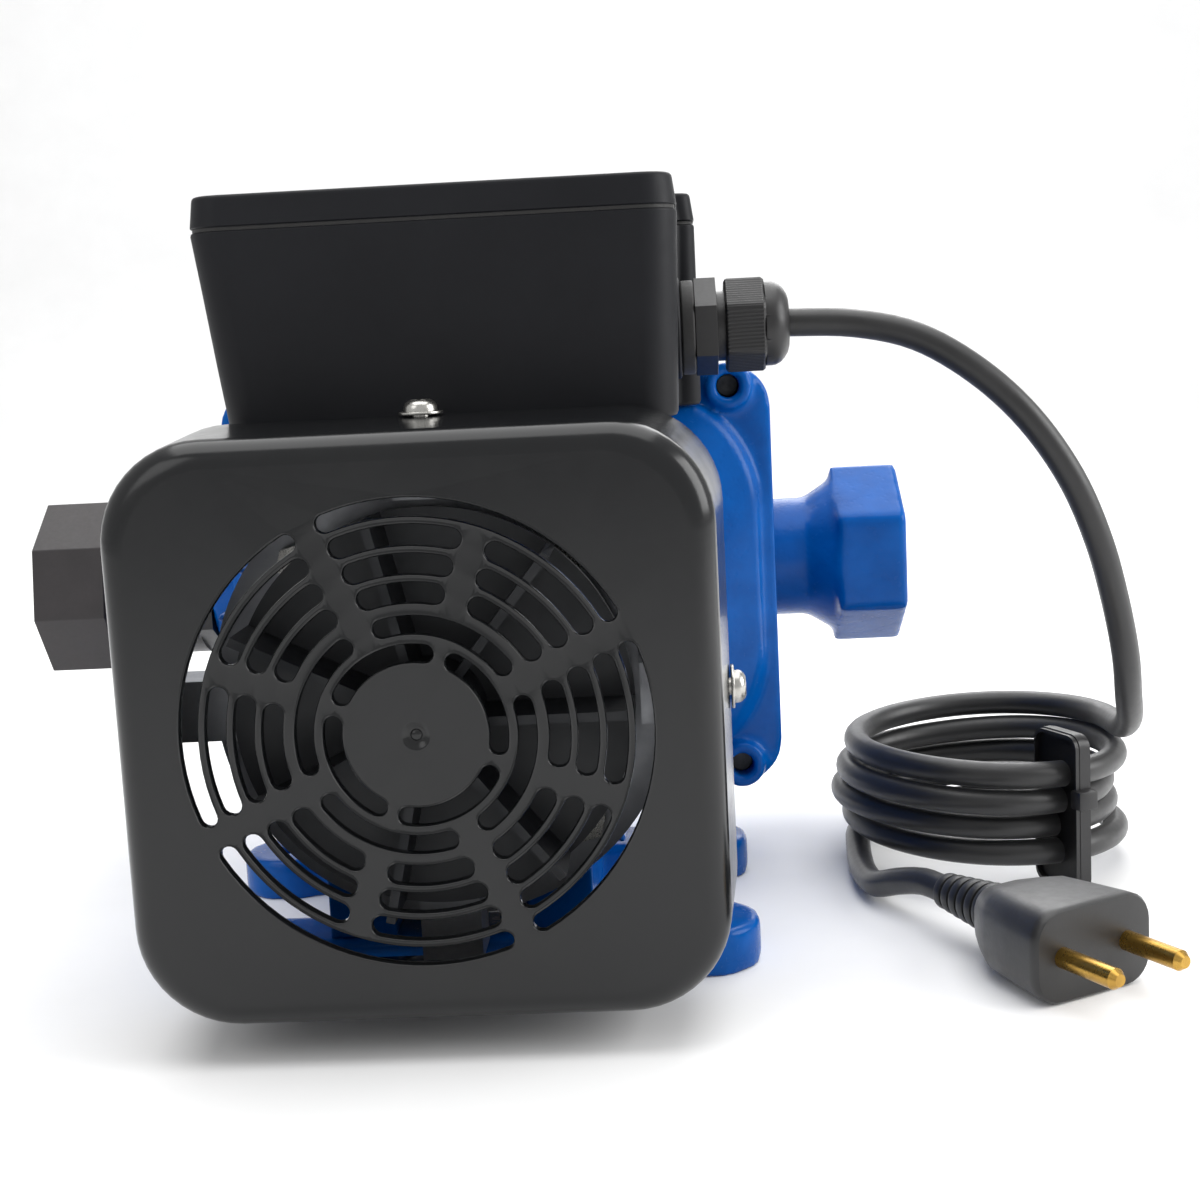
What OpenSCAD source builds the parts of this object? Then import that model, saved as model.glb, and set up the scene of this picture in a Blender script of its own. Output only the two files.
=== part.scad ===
// Inline booster pump for a pool or spa: a fan-cooled motor, a pump end with two ports in line,
// a flow switch on the outlet, and a terminal box with a cable gland and a mains lead.
// X runs along the two ports, Y along the shaft from the fan to the pump end, and Z is up.
// The origin is the middle of the four foot holes, on the floor. All sizes are in millimetres.

/* [Feet] */
// Distance between the foot holes across the pump
foot_pitch_x = 116; // [110:1:120]
// Distance between the foot holes along the shaft
foot_pitch_y = 72; // [70:1:74]
// Diameter of the foot holes
foot_hole_d = 7; // [5:0.5:8]
// Height of the foot bars
foot_h = 11; // [10:0.5:12]

/* [Motor] */
// Height of the motor shaft above the floor
axis_z = 72; // [71:0.5:73]
// Diameter of the motor frame
frame_d = 108; // [107:0.5:109]
// Diameter of the shaft
shaft_d = 12; // [10:1:12]

/* [Fan cover] */
// Width of the fan cover at its front
cover_w = 128; // [126:0.5:129]
// Height of the fan cover at its front
cover_h = 126; // [125:0.5:127]
// Depth of the fan cover
cover_depth = 42; // [41:0.5:43]
// Corner radius of the fan cover
cover_r = 22; // [18:1:26]
// Wall thickness of the fan cover
cover_wall = 2.5; // [2:0.25:3]
// Outer radius of the grille
grille_r = 49.5; // [48:0.5:50]

/* [Terminal box] */
// Height of the box floor
box_z = 133; // [132:0.5:134]
// Height of the seam between box and lid
seam_z = 179.5; // [177:0.5:181]
// Height of the lid
lid_h = 8; // [7:0.5:9]
// Wall thickness of box and lid
box_wall = 2.5; // [2:0.25:3]

/* [Ports] */
// Height of the two ports
port_z = 84; // [83:0.5:85]
// Radius of the port thread wall, for a one inch pipe thread
port_r = 15.1; // [14.5:0.1:15.5]
// Distance across the flats of the suction port's hexagon
hex_af = 46; // [44:1:48]
// Distance across the flats of the union nut's octagon
nut_af = 50; // [49:0.5:50]

/* [Mains lead] */
// Diameter of the cord
cord_d = 7; // [6.6:0.1:7.2]
// Radius of the coil at the middle of its turns
coil_r = 36; // [35:1:38]
// Height of the coil
coil_h = 41; // [38:1:42]

/* [Hidden] */
FINE = 96;
MID = 48;
LOW = 32;
CLEAR = 0.02;   // radial clearance of a shaft fit
EPS = 0.05;

cover_front = -96;
cover_rim = cover_front + cover_depth;
cover_edge = 6;
cover_draft_x = 2.5;
cover_draft_z = 1.5;
screw_y = -58;
rings = [   // inner and outer radius as parts of grille_r, ribs, first rib's angle, rib width
    [0.92, 1.00, 4, 25, 5], [0.80, 0.89, 8, 25, 5], [0.68, 0.77, 8, 25, 5],
    [0.56, 0.65, 8, 25, 5], [0.43, 0.51, 4, 25, 5], [0.31, 0.39, 4, 70, 2.5]];

frame_r = frame_d / 2;
frame_in_r = frame_r - 4;
frame_front = -46;
frame_back = 22;
shaft_r = shaft_d / 2;
bearing_r = 16;
bearing_w = 10;
rear_bearing_y = -55;
front_bearing_y = 22;
stator_front = -32;
stator_back = 10;
rotor_r = 26;

flange_y = 36.5;
flange_t = 7.5;
flange_mid = 6.5;   // the flange reaches further towards the suction port
flange_w = 153;
flange_h = 118;
flange_r = 12;
bolt_x = 65;
bolt_z = 53;
gasket_t = 0.8;
casing_y = flange_y + flange_t + gasket_t;
casing_back = 104;
port_y = 77;
casing_r = 57;

box_x0 = -52;
box_x1 = 59;
box_y0 = -52;
box_y1 = 35;
box_r = 8;
bump_x = 63.8;
bump_y0 = 12;
earth_at = [-30, -34];
gland_y = -6;
gland_z = 153;

hex_x0 = 102;
hex_x1 = 122;
nut_x0 = -133;
nut_thread_r = 19.5;
nut_thread_l = 9;
nut_groove_r = 20.2;
nut_groove_l = 4.8;
seat_x = -121.9;   // end face of the flow switch, inside the union nut

cord_r = cord_d / 2;
coil_at = [140, 42, 1.5];
coil_half = 8;
tie_turn = -65;
lead_points = [
    [72, -6, 153], [86, -6, 153], [102, -7, 152], [117, -10, 148], [131, -13, 139],
    [143, -15, 127], [153, -15, 112], [160, -13, 96], [165, -9, 80], [169, -3, 65],
    [172, 6, 52.5], [175, 17, 44], [176, 29, 39], [176, 42, 38]];
tail_points = [
    [104, 42, 5], [103, 28, 4], [103, 14, 4], [104.6, 2, 5], [109.4, -7.8, 8.6],
    [114.5, -16.2, 11], [119, -24, 11]];
plug_at = [119, -24, 11];
plug_turn = -60;
relief_l = 20;
plug_l = 32;

// ---- places -----------------------------------------------------------------------------

// On the motor axis at y, with the children's +Z along +Y
module on_axis(y) {
    translate([0, y, axis_z]) rotate([-90, 0, 0]) children();
}

// Facing the front at y, with the children's +Z towards the front and +Y up
module facing(y, z = axis_z, x = 0) {
    translate([x, y, z]) rotate([90, 0, 0]) children();
}

// On the port axis at x, with the children's +Z along +X
module on_port(x) {
    translate([x, port_y, port_z]) rotate([0, 90, 0]) children();
}

// At the four corners of a rectangle
module corners(dx, dy) {
    for (sx = [-1, 1], sy = [-1, 1]) translate([sx * dx, sy * dy, 0]) children();
}

// ---- shapes -----------------------------------------------------------------------------

module ring(r_out, r_in, h) {
    difference() {
        cylinder(r = r_out, h = h, $fn = FINE);
        translate([0, 0, -1]) cylinder(r = r_in, h = h + 2, $fn = FINE);
    }
}

// A flat plate with round corners, exact
module round_plate(w, h, r, t) {
    translate([-w / 2 + r, -h / 2, 0]) cube([w - 2 * r, h, t]);
    translate([-w / 2, -h / 2 + r, 0]) cube([w, h - 2 * r, t]);
    corners(w / 2 - r, h / 2 - r) cylinder(r = r, h = t, $fn = MID);
}

// Four thin corner discs, for a hull
module corner_discs(w, h, r) {
    corners(w / 2 - r, h / 2 - r) cylinder(r = r, h = 0.01, $fn = MID);
}

// A polygonal nut with n sides and af across its flats
module flats(n, af, h) {
    cylinder(r = af / 2 / cos(180 / n), h = h, $fn = n);
}

// A pan head screw pointing down, with its head standing on z = 0
module pan_screw(d, head_d, head_h, length) {
    difference() {
        cylinder(d1 = head_d, d2 = head_d * 0.8, h = head_h, $fn = LOW);
        for (a = [0, 90]) rotate(a) translate([-head_d * 0.28, -0.5, head_h - 1.2]) {
            cube([head_d * 0.56, 1, 2]);
        }
    }
    translate([0, 0, -length]) cylinder(d = d, h = length + EPS, $fn = LOW);
}

function unit(v) = v / norm(v);
function heading(p, i) = unit(p[min(i + 1, len(p) - 1)] - p[max(i - 1, 0)]);

// One ring of n points round the route's point i
function ring_points(p, i, r, n, ref) =
    let (t = heading(p, i), u = unit(cross(t, ref)), v = cross(t, u))
    [for (k = [0 : n - 1]) p[i] + r * (cos(360 * k / n) * u + sin(360 * k / n) * v)];

// A closed tube along the route p; ref is never parallel to the route
module swept_tube(p, r, ref, n = 10) {
    m = len(p);
    points = [for (i = [0 : m - 1]) each ring_points(p, i, r, n, ref)];
    sides = [for (i = [0 : m - 2], k = [0 : n - 1])
        [i * n + k, i * n + (k + 1) % n, (i + 1) * n + (k + 1) % n, (i + 1) * n + k]];
    first = [for (k = [0 : n - 1]) n - 1 - k];
    last = [for (k = [0 : n - 1]) (m - 1) * n + k];
    polyhedron(points = points, faces = concat(sides, [first], [last]), convexity = 6);
}

// ---- fan cover --------------------------------------------------------------------------

// The cover's body, smaller by inset all round; its front edge is rounded
module cover_form(inset) {
    edge = cover_edge - inset * 0.8;
    w = cover_w - 2 * inset;
    h = cover_h - 2 * inset;
    hull() {
        for (a = [0 : 22.5 : 90]) {
            in = edge * (1 - sin(a));
            facing(cover_front + inset + edge * (1 - cos(a)))
                corner_discs(w - 2 * in, h - 2 * in, cover_r - inset - in * 0.6);
        }
        facing(cover_rim + (inset > 0 ? 1 : 0))
            corner_discs(w + 2 * cover_draft_x, h + 2 * cover_draft_z, cover_r - inset);
    }
}

function on_circle(r, a) = r * [cos(a), sin(a)];

// The outline of a curved slot with round ends, from the angle a1 to a2
function slot_outline(r1, r2, a1, a2) =
    let (mid = (r1 + r2) / 2, end = (r2 - r1) / 2, n = ceil((a2 - a1) / 6))
    concat(
        [for (i = [0 : n]) on_circle(r2, a1 + (a2 - a1) * i / n)],
        [for (i = [1 : 4]) on_circle(mid, a2) + on_circle(end, a2 + 36 * i)],
        [for (i = [0 : n]) on_circle(r1, a2 - (a2 - a1) * i / n)],
        [for (i = [1 : 4]) on_circle(mid, a1) + on_circle(end, a1 + 180 + 36 * i)]);

// A slot between the middles of two ribs, at a1 and a2
module arc_slot(r1, r2, a1, a2, rib, t) {
    pull = asin((rib / 2 + (r2 - r1) / 2) / ((r1 + r2) / 2));
    linear_extrude(height = t, center = true) polygon(slot_outline(r1, r2, a1 + pull, a2 - pull));
}

module grille_slots(t) {
    for (g = rings) {
        step = 360 / g[2];
        for (k = [0 : g[2] - 1]) {
            a = g[3] + step * k;
            arc_slot(g[0] * grille_r, g[1] * grille_r, a, a + step, g[4], t);
        }
    }
}

// Places for the four cover screws, with the children's +Z outwards
module cover_screw_places() {
    half_w = cover_w / 2 + cover_draft_x * 0.9;
    half_h = cover_h / 2 + cover_draft_z * 0.9;
    for (s = [-1, 1]) {
        translate([s * half_w, screw_y, axis_z]) rotate([0, s * 90, 0]) children();
        translate([0, screw_y, axis_z + s * half_h]) rotate([s > 0 ? 0 : 180, 0, 0]) children();
    }
}

module fan_cover() {
    color([0.16, 0.16, 0.17]) difference() {
        cover_form(0);
        cover_form(cover_wall);
        facing(cover_front) grille_slots(12);
        cover_screw_places() translate([0, 0, -6]) cylinder(r = 2.3, h = 12, $fn = LOW);
    }
}

module cover_washers() {
    color([0.75, 0.76, 0.78]) cover_screw_places() translate([0, 0, 0.3]) ring(5, 2.3, 0.68);
}

module cover_screws() {
    color([0.8, 0.81, 0.83]) cover_screw_places() translate([0, 0, 1]) {
        pan_screw(4, 7.6, 2.6, 11);
    }
}

// ---- rotor ------------------------------------------------------------------------------

module cooling_fan() {
    blades = 7;
    color([0.45, 0.46, 0.48]) difference() {
        union() {
            on_axis(-68) cylinder(r = 45, h = 2, $fn = FINE);
            on_axis(-84) cylinder(r = 12, h = 18, $fn = MID);
            for (k = [0 : blades - 1]) translate([0, -85, axis_z]) rotate([0, 360 / blades * k, 0]) {
                translate([9, 0, -1]) cube([36, 18, 2]);
            }
        }
        on_axis(-90) cylinder(r = shaft_r + CLEAR, h = 30, $fn = MID);
    }
}

module fan_clip() {
    color([0.55, 0.56, 0.58]) on_axis(-85.2) ring(8.8, shaft_r - 0.6, 1);
}

module shaft() {
    color([0.72, 0.73, 0.75]) difference() {
        union() {
            on_axis(-87) cylinder(r = shaft_r, h = 149, $fn = FINE);
            on_axis(62 - EPS) cylinder(r = 4, h = 9, $fn = MID);
        }
        on_axis(-85.3) ring(shaft_r + 1, shaft_r - 0.7, 1.2);
    }
}

module rotor_core() {
    color([0.6, 0.6, 0.62]) {
        on_axis(stator_front) ring(rotor_r, shaft_r + CLEAR, stator_back - stator_front);
        on_axis(stator_front - 5) ring(rotor_r - 2, rotor_r - 9, 5);
        on_axis(stator_back) ring(rotor_r - 2, rotor_r - 9, 4);
    }
}

module impeller() {
    blades = 6;
    color([0.72, 0.6, 0.3]) difference() {
        union() {
            on_axis(51) cylinder(r = 42, h = 2.5, $fn = FINE);
            on_axis(60) ring(42, 15, 2);
            on_axis(51) cylinder(r = 10, h = 11, $fn = MID);
            for (k = [0 : blades - 1]) translate([0, 53, axis_z]) rotate([0, 360 / blades * k, 0]) {
                rotate([0, 35, 0]) translate([9, 0, -7]) rotate([0, -35, 0]) cube([29, 7.2, 2]);
            }
        }
        on_axis(45) cylinder(r = shaft_r + CLEAR, h = 30, $fn = MID);
    }
}

module impeller_nut() {
    color([0.75, 0.75, 0.77]) difference() {
        on_axis(62.1) flats(6, 13, 6);
        on_axis(60) cylinder(r = 4 + CLEAR, h = 12, $fn = MID);
    }
}

module seal_rotary() {
    color([0.12, 0.12, 0.13]) on_axis(44.6) ring(10.5, shaft_r + CLEAR, 6.2);
}

// ---- motor body -------------------------------------------------------------------------

module rear_end_shield() {
    color([0.62, 0.63, 0.65]) difference() {
        union() {
            on_axis(-50) cylinder(r = frame_r, h = 4 - EPS, $fn = FINE);
            on_axis(-57) cylinder(r = 21, h = 8, $fn = MID);
            on_axis(-46 - EPS) ring(frame_in_r - EPS, frame_in_r - 4, 4);
            for (s = [-1, 1]) {
                translate([s > 0 ? 46 : -62.8, -62, axis_z - 7]) cube([16.8, 14, 14]);
                translate([-7, -62, s > 0 ? axis_z + 46 : axis_z - 60.8]) cube([14, 14, 14.8]);
            }
        }
        on_axis(rear_bearing_y) cylinder(r = bearing_r + CLEAR, h = 12, $fn = FINE);
        on_axis(-60) cylinder(r = 9, h = 20, $fn = MID);
        cover_screw_places() translate([0, 0, -14]) cylinder(r = 2.1, h = 16, $fn = LOW);
        tie_places() translate([0, 0, -6]) cylinder(r = 2.6, h = 20, $fn = LOW);
    }
}

// Places for the four long bolts that hold the motor together
module tie_places() {
    for (a = [45 : 90 : 315]) on_axis(-50) rotate(a) translate([frame_in_r - 5, 0, 0]) children();
}

module tie_bolts() {
    color([0.7, 0.71, 0.73]) tie_places() {
        translate([0, 0, -4]) flats(6, 8, 4 - EPS);
        translate([0, 0, -EPS]) cylinder(r = 2.5, h = 82, $fn = LOW);
    }
}

module motor_frame() {
    fins = 28;
    color([0.08, 0.33, 0.62]) difference() {
        union() {
            on_axis(frame_front) cylinder(r = frame_r, h = frame_back - frame_front, $fn = FINE);
            for (k = [0 : fins - 1]) {
                a = 360 / fins * (k + 0.5);
                if (abs(a - 90) > 30 && abs(a - 270) > 30) {
                    translate([0, frame_front + 4, axis_z]) rotate([0, -a, 0])
                        translate([frame_r - 1, 0, -1]) cube([4, frame_back - frame_front - 8, 2]);
                }
            }
            translate([-34, frame_front + 4, axis_z + 40]) cube([68, 60, box_z - axis_z - 40 - EPS]);
            for (sx = [-1, 1]) translate([sx * 24 - 8, -44, foot_h]) cube([16, 62, 20]);
        }
        on_axis(frame_front - 1) cylinder(r = frame_in_r, h = 80, $fn = FINE);
        translate([0, -20, axis_z + 30]) cylinder(r = 9, h = 40, $fn = MID);
        cradle_bolt_places() cylinder(r = 2.6, h = 14, $fn = LOW);
        box_screw_places() translate([0, 0, -8]) cylinder(r = 2, h = 12, $fn = LOW);
    }
}

module box_screw_places() {
    translate([0, -12, box_z]) corners(26, 22) children();
}

module stator_core() {
    slots = 24;
    color([0.55, 0.56, 0.58]) difference() {
        on_axis(stator_front) cylinder(r = frame_in_r - CLEAR, h = stator_back - stator_front, $fn = FINE);
        on_axis(stator_front - 1) cylinder(r = rotor_r + 0.5, h = 60, $fn = FINE);
        for (k = [0 : slots - 1]) translate([0, stator_front - 1, axis_z]) rotate([0, 360 / slots * k, 0]) {
            translate([rotor_r + 2, 0, -1.6]) cube([11, 60, 3.2]);
        }
        tie_places() cylinder(r = 3, h = 80, $fn = LOW);
    }
}

module stator_windings() {
    color([0.75, 0.42, 0.2]) {
        on_axis(stator_front - 9) ring(40, rotor_r + 3, 8.9);
        on_axis(stator_back + 0.1) ring(40, rotor_r + 3, 7);
    }
}

module bearing(y) {
    difference() {
        on_axis(y) ring(bearing_r, shaft_r + CLEAR, bearing_w);
        on_axis(y - EPS) ring(bearing_r - 3.5, shaft_r + 3, 1);
        on_axis(y + bearing_w - 1 + EPS) ring(bearing_r - 3.5, shaft_r + 3, 1);
    }
}

module rear_bearing() {
    color([0.78, 0.79, 0.8]) bearing(rear_bearing_y);
}

module front_bearing() {
    color([0.78, 0.79, 0.8]) bearing(front_bearing_y);
}

// The blue bell that joins the motor to the pump end
module motor_bracket() {
    bell_back = flange_y + 1;
    color([0.05, 0.32, 0.66]) difference() {
        union() {
            hull() {
                on_axis(frame_back + EPS) cylinder(r = frame_r + 2, h = 2, $fn = FINE);
                facing(bell_back - 5, port_z, flange_mid) corner_discs(143, 108, 36);
                facing(bell_back, port_z, flange_mid) corner_discs(147, 112, 34);
            }
            facing(flange_y + flange_t, port_z, flange_mid) {
                round_plate(flange_w, flange_h, flange_r, flange_t);
            }
            flange_bolt_places() translate([0, 0, -9]) cylinder(r = 6.5, h = 5, $fn = MID);
            for (sx = [-1, 1]) translate([sx * 24 - 8, 27, foot_h]) cube([16, 17, 24]);
        }
        difference() {
            hull() {
                on_axis(frame_back - 1) cylinder(r = frame_in_r, h = 2, $fn = FINE);
                facing(bell_back - 6, port_z - 4, flange_mid) corner_discs(123, 84, 34);
            }
            on_axis(0) cylinder(r = 24, h = 60, $fn = MID);
        }
        translate([-90, 0, box_z - 1]) cube([bump_x + 91, flange_y - EPS, 40]);
        on_axis(front_bearing_y - 5) cylinder(r = bearing_r + CLEAR, h = 5 + bearing_w, $fn = FINE);
        on_axis(0) cylinder(r = 8, h = 60, $fn = MID);
        on_axis(flange_y + flange_t - 6) cylinder(r = 13, h = 8, $fn = MID);
        flange_bolt_places() translate([0, 0, -10]) cylinder(r = 3.3, h = 24, $fn = LOW);
        cradle_bolt_places() cylinder(r = 2.6, h = 14, $fn = LOW);
        tie_places() cylinder(r = 2.6, h = 86, $fn = LOW);
    }
}

// Places for the four bolts of the pump end, with +Z along +Y from the flange's front face
module flange_bolt_places() {
    for (sx = [-1, 1], sz = [-1, 1]) {
        translate([flange_mid + sx * bolt_x, flange_y + 5, port_z + sz * bolt_z]) {
            rotate([-90, 0, 0]) children();
        }
    }
}

// ---- feet -------------------------------------------------------------------------------

module cradle_bolt_places() {
    for (sx = [-1, 1], y = [-36, 36]) translate([sx * 24, y, foot_h - 2]) children();
}

module base_cradle() {
    lug_r = 14;
    color([0.07, 0.35, 0.64]) difference() {
        union() {
            for (s = [-1, 1]) {
                translate([-foot_pitch_x / 2, s * foot_pitch_y / 2 - 11, 0]) {
                    cube([foot_pitch_x, 22, foot_h - EPS]);
                }
                translate([s * 24 - 6, -foot_pitch_y / 2, 0]) cube([12, foot_pitch_y, foot_h - EPS]);
            }
            corners(foot_pitch_x / 2, foot_pitch_y / 2) cylinder(r = lug_r, h = foot_h - EPS, $fn = MID);
        }
        corners(foot_pitch_x / 2, foot_pitch_y / 2) translate([0, 0, -1]) {
            cylinder(r = foot_hole_d / 2, h = 40, $fn = MID);
        }
        for (sx = [-1, 1], y = [-36, 36]) translate([sx * 24, y, -1]) {
            cylinder(r = 2.6, h = 40, $fn = LOW);
            cylinder(r = 5.5, h = 7, $fn = LOW);
        }
    }
}

module cradle_bolts() {
    color([0.7, 0.71, 0.73]) for (sx = [-1, 1], y = [-36, 36]) translate([sx * 24, y, 2]) {
        flats(6, 8, 4 - EPS);
        cylinder(r = 2.5, h = 18, $fn = LOW);
    }
}

// ---- terminal box -----------------------------------------------------------------------

// A thin slab of the box's outline at height z; the left side leans in towards the bottom
module box_slab(z, inset, lean) {
    x0 = box_x0 + inset + 5.5 * lean;
    x1 = box_x1 - inset - 1.5 * lean;
    y0 = box_y0 + inset + lean;
    y1 = box_y1 - inset;
    r = max(box_r - inset, 1);
    translate([(x0 + x1) / 2, (y0 + y1) / 2, z]) corner_discs(x1 - x0, y1 - y0, r);
}

module bump_slab(z, inset) {
    x1 = bump_x - inset;
    y0 = bump_y0 + inset;
    y1 = box_y1 - inset;
    translate([x1 / 2 + 15, (y0 + y1) / 2, z]) corner_discs(x1 - 30, y1 - y0, 5);
}

// From z0 to z1, with the inset and the lean of each end
module box_form(z0, z1, inset0, inset1, lean0 = 0) {
    hull() {
        box_slab(z0, inset0, lean0);
        box_slab(z1, inset1, 0);
    }
    hull() {
        bump_slab(z0, inset0);
        bump_slab(z1, inset1);
    }
}

module lid_screw_places() {
    for (x = [box_x0 + 6.5, box_x1 - 6.5], y = [box_y0 + 6.5, box_y1 - 6.5]) {
        translate([x, y, seam_z]) children();
    }
}

module terminal_box() {
    color([0.19, 0.19, 0.2]) difference() {
        union() {
            difference() {
                box_form(box_z, seam_z, 0, 0, 1);
                box_form(box_z + 3, seam_z + 1, box_wall, box_wall, 1);
            }
            lid_screw_places() translate([0, 0, -18]) cylinder(r = 4, h = 18, $fn = LOW);
            on_gland(55.6) cylinder(r = 12.6, h = 3.5, $fn = MID);
        }
        lid_screw_places() translate([0, 0, -12]) cylinder(r = 1.6, h = 14, $fn = LOW);
        box_screw_places() translate([0, 0, -1]) cylinder(r = 2.2, h = 6, $fn = LOW);
        translate([earth_at[0], earth_at[1], box_z - 1]) cylinder(r = 2.1, h = 6, $fn = LOW);
        translate([0, -20, box_z - 1]) cylinder(r = 8, h = 6, $fn = MID);
        translate([40, gland_y, gland_z]) rotate([0, 90, 0]) cylinder(r = 9.3, h = 30, $fn = MID);
    }
}

module lid_gasket() {
    color([0.1, 0.1, 0.1]) difference() {
        box_form(seam_z + 0.02, seam_z + gasket_t + 0.02, 0.5, 0.5);
        box_form(seam_z - 1, seam_z + 2, box_wall, box_wall);
        lid_screw_places() translate([0, 0, -1]) cylinder(r = 4.2, h = 4, $fn = LOW);
    }
}

module box_lid() {
    z0 = seam_z + gasket_t + EPS;
    z1 = seam_z + lid_h;
    color([0.18, 0.18, 0.19]) difference() {
        union() {
            box_form(z0, z1 - 1.8, 0, 0.8);
            box_form(z1 - 1.85, z1, 0.8, 2.4);
        }
        box_form(z0 - 1, z1 - box_wall, box_wall, box_wall + 0.8);
        lid_screw_places() translate([0, 0, -1]) cylinder(r = 2, h = 20, $fn = LOW);
        lid_screw_places() translate([0, 0, lid_h - 1.6]) cylinder(r = 3.8, h = 10, $fn = LOW);
    }
}

module lid_screws() {
    color([0.75, 0.76, 0.78]) lid_screw_places() translate([0, 0, lid_h - 1.5]) {
        pan_screw(3, 6.4, 1.5, 14);
    }
}

module run_capacitor() {
    color([0.85, 0.85, 0.83]) translate([-36, 14, box_z + 20]) rotate([0, 90, 0]) {
        cylinder(r = 15, h = 62, $fn = FINE);
        translate([0, 0, 62]) cylinder(r = 12, h = 2, $fn = MID);
        for (s = [-1, 1]) translate([-1, s * 5 - 3, 62]) cube([1, 6, 9]);
    }
}

module terminal_block() {
    color([0.88, 0.87, 0.82]) difference() {
        union() {
            translate([-8, -40, box_z + 3 + EPS]) cube([44, 20, 9]);
            translate([-8, -35, box_z + 11]) cube([44, 10, 7]);
        }
        for (k = [0 : 3]) translate([-2.5 + 11 * k, -30, box_z + 6]) cylinder(r = 2.4, h = 20, $fn = LOW);
        for (k = [0 : 3]) translate([-2.5 + 11 * k, -50, box_z + 8]) rotate([-90, 0, 0]) {
            cylinder(r = 1.8, h = 60, $fn = LOW);
        }
    }
}

module earth_screw() {
    color([0.8, 0.68, 0.35]) translate([earth_at[0], earth_at[1], box_z + 3 + EPS]) {
        ring(5, 2.1, 0.8);
        translate([0, 0, 0.8 + EPS]) pan_screw(4, 7.5, 2.6, 3.6);
    }
}

// ---- cable gland ------------------------------------------------------------------------

// On the gland's axis at x, with the children's +Z along +X
module on_gland(x) {
    translate([x, gland_y, gland_z]) rotate([0, 90, 0]) children();
}

module gland_washer() {
    color([0.12, 0.12, 0.12]) on_gland(59.2) ring(11.6, 9.3, 3.3);
}

module gland_body() {
    color([0.15, 0.15, 0.16]) difference() {
        union() {
            on_gland(47) cylinder(r = 9.2, h = 17, $fn = FINE);
            on_gland(62.6) rotate(6) flats(6, 21, 5.4);
            on_gland(62.6) cylinder(r = 8.6, h = 13, $fn = FINE);
        }
        on_gland(46) cylinder(r = 5.2, h = 32, $fn = MID);
    }
}

module gland_lock_nut() {
    color([0.15, 0.15, 0.16]) difference() {
        on_gland(49.5) rotate(12) flats(6, 22, 5);
        on_gland(48) cylinder(r = 9.2 + CLEAR, h = 8, $fn = FINE);
    }
}

module gland_nut() {
    color([0.15, 0.15, 0.16]) difference() {
        union() {
            on_gland(70) rotate(6) flats(6, 20.8, 10);
            on_gland(80 - EPS) rotate_extrude($fn = FINE) {
                intersection() {
                    union() {
                        square([10.3, 1.4]);
                        translate([5.5, 1.4]) circle(r = 4.4, $fn = MID);
                        square([5.5, 5.8]);
                    }
                    square([12, 5.8]);
                }
            }
        }
        on_gland(69) cylinder(r = 8.6 + CLEAR, h = 9, $fn = FINE);
        on_gland(69) cylinder(r = 3.9, h = 18, $fn = MID);
    }
}

module gland_insert() {
    color([0.2, 0.2, 0.2]) on_gland(68) ring(5.1, 3.6, 9);
}

// ---- pump end ---------------------------------------------------------------------------

module seal_seat() {
    color([0.9, 0.88, 0.84]) on_axis(38.2) ring(13 - CLEAR, 7, 6.2);
}

module casing_gasket() {
    color([0.12, 0.12, 0.12]) difference() {
        facing(casing_y - EPS / 2, port_z, flange_mid) {
            round_plate(flange_w - 8, flange_h - 8, flange_r, gasket_t - EPS);
        }
        on_axis(30) cylinder(r = 46, h = 30, $fn = FINE);
        flange_bolt_places() translate([0, 0, -2]) cylinder(r = 7.5, h = 20, $fn = LOW);
    }
}

module casing_bolts() {
    color([0.72, 0.73, 0.75]) flange_bolt_places() {
        translate([0, 0, 12.1 + EPS]) flats(6, 10, 4.2);
        translate([0, 0, -3]) cylinder(r = 3, h = 15.2, $fn = LOW);
    }
}

module pump_casing() {
    casing_z = 80;
    plate_t = 8;
    color([0.04, 0.35, 0.72]) difference() {
        union() {
            facing(casing_y + plate_t, port_z, flange_mid) {
                round_plate(flange_w, flange_h, flange_r, plate_t);
            }
            translate([0, casing_y + plate_t - EPS, casing_z]) rotate([-90, 0, 0]) {
                cylinder(r = casing_r, h = casing_back - casing_y - plate_t - 9, $fn = FINE);
                translate([0, 0, casing_back - casing_y - plate_t - 9 - EPS]) {
                    cylinder(r1 = casing_r, r2 = casing_r - 12, h = 9, $fn = FINE);
                }
            }
            on_port(0) cylinder(r = 17.5, h = hex_x1 - 4, $fn = FINE);
            on_port(48) cylinder(r1 = 26, r2 = 17.5, h = 16, $fn = FINE);
            on_port(hex_x0 - 8) cylinder(r1 = 17.5, r2 = 22.6, h = 8 + EPS, $fn = FINE);
            on_port(hex_x0) flats(6, hex_af, hex_x1 - hex_x0);
            on_port(-82) cylinder(r = 21, h = 60, $fn = FINE);
        }
        on_axis(casing_y - 1) cylinder(r = 46, h = 22, $fn = FINE);
        on_axis(60) cylinder(r = 14.5, h = 20, $fn = MID);
        translate([0, 70, casing_z]) rotate([-90, 0, 0]) cylinder(r = 32, h = 28, $fn = FINE);
        on_port(10) cylinder(r = 13, h = 100, $fn = FINE);
        on_port(hex_x1 - 18) cylinder(r = port_r, h = 19, $fn = FINE);
        on_port(-83) cylinder(r = port_r, h = 20, $fn = FINE);
        on_port(-70) cylinder(r = 11, h = 24, $fn = FINE);
        translate([-42, 58, port_z]) rotate([-90, 0, 0]) cylinder(r = 8, h = 20, $fn = MID);
        flange_bolt_places() translate([0, 0, -1]) cylinder(r = 3.3, h = 20, $fn = LOW);
    }
}

// ---- flow switch ------------------------------------------------------------------------

flap_x = -96;
flap_z = port_z + 12;

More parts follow.
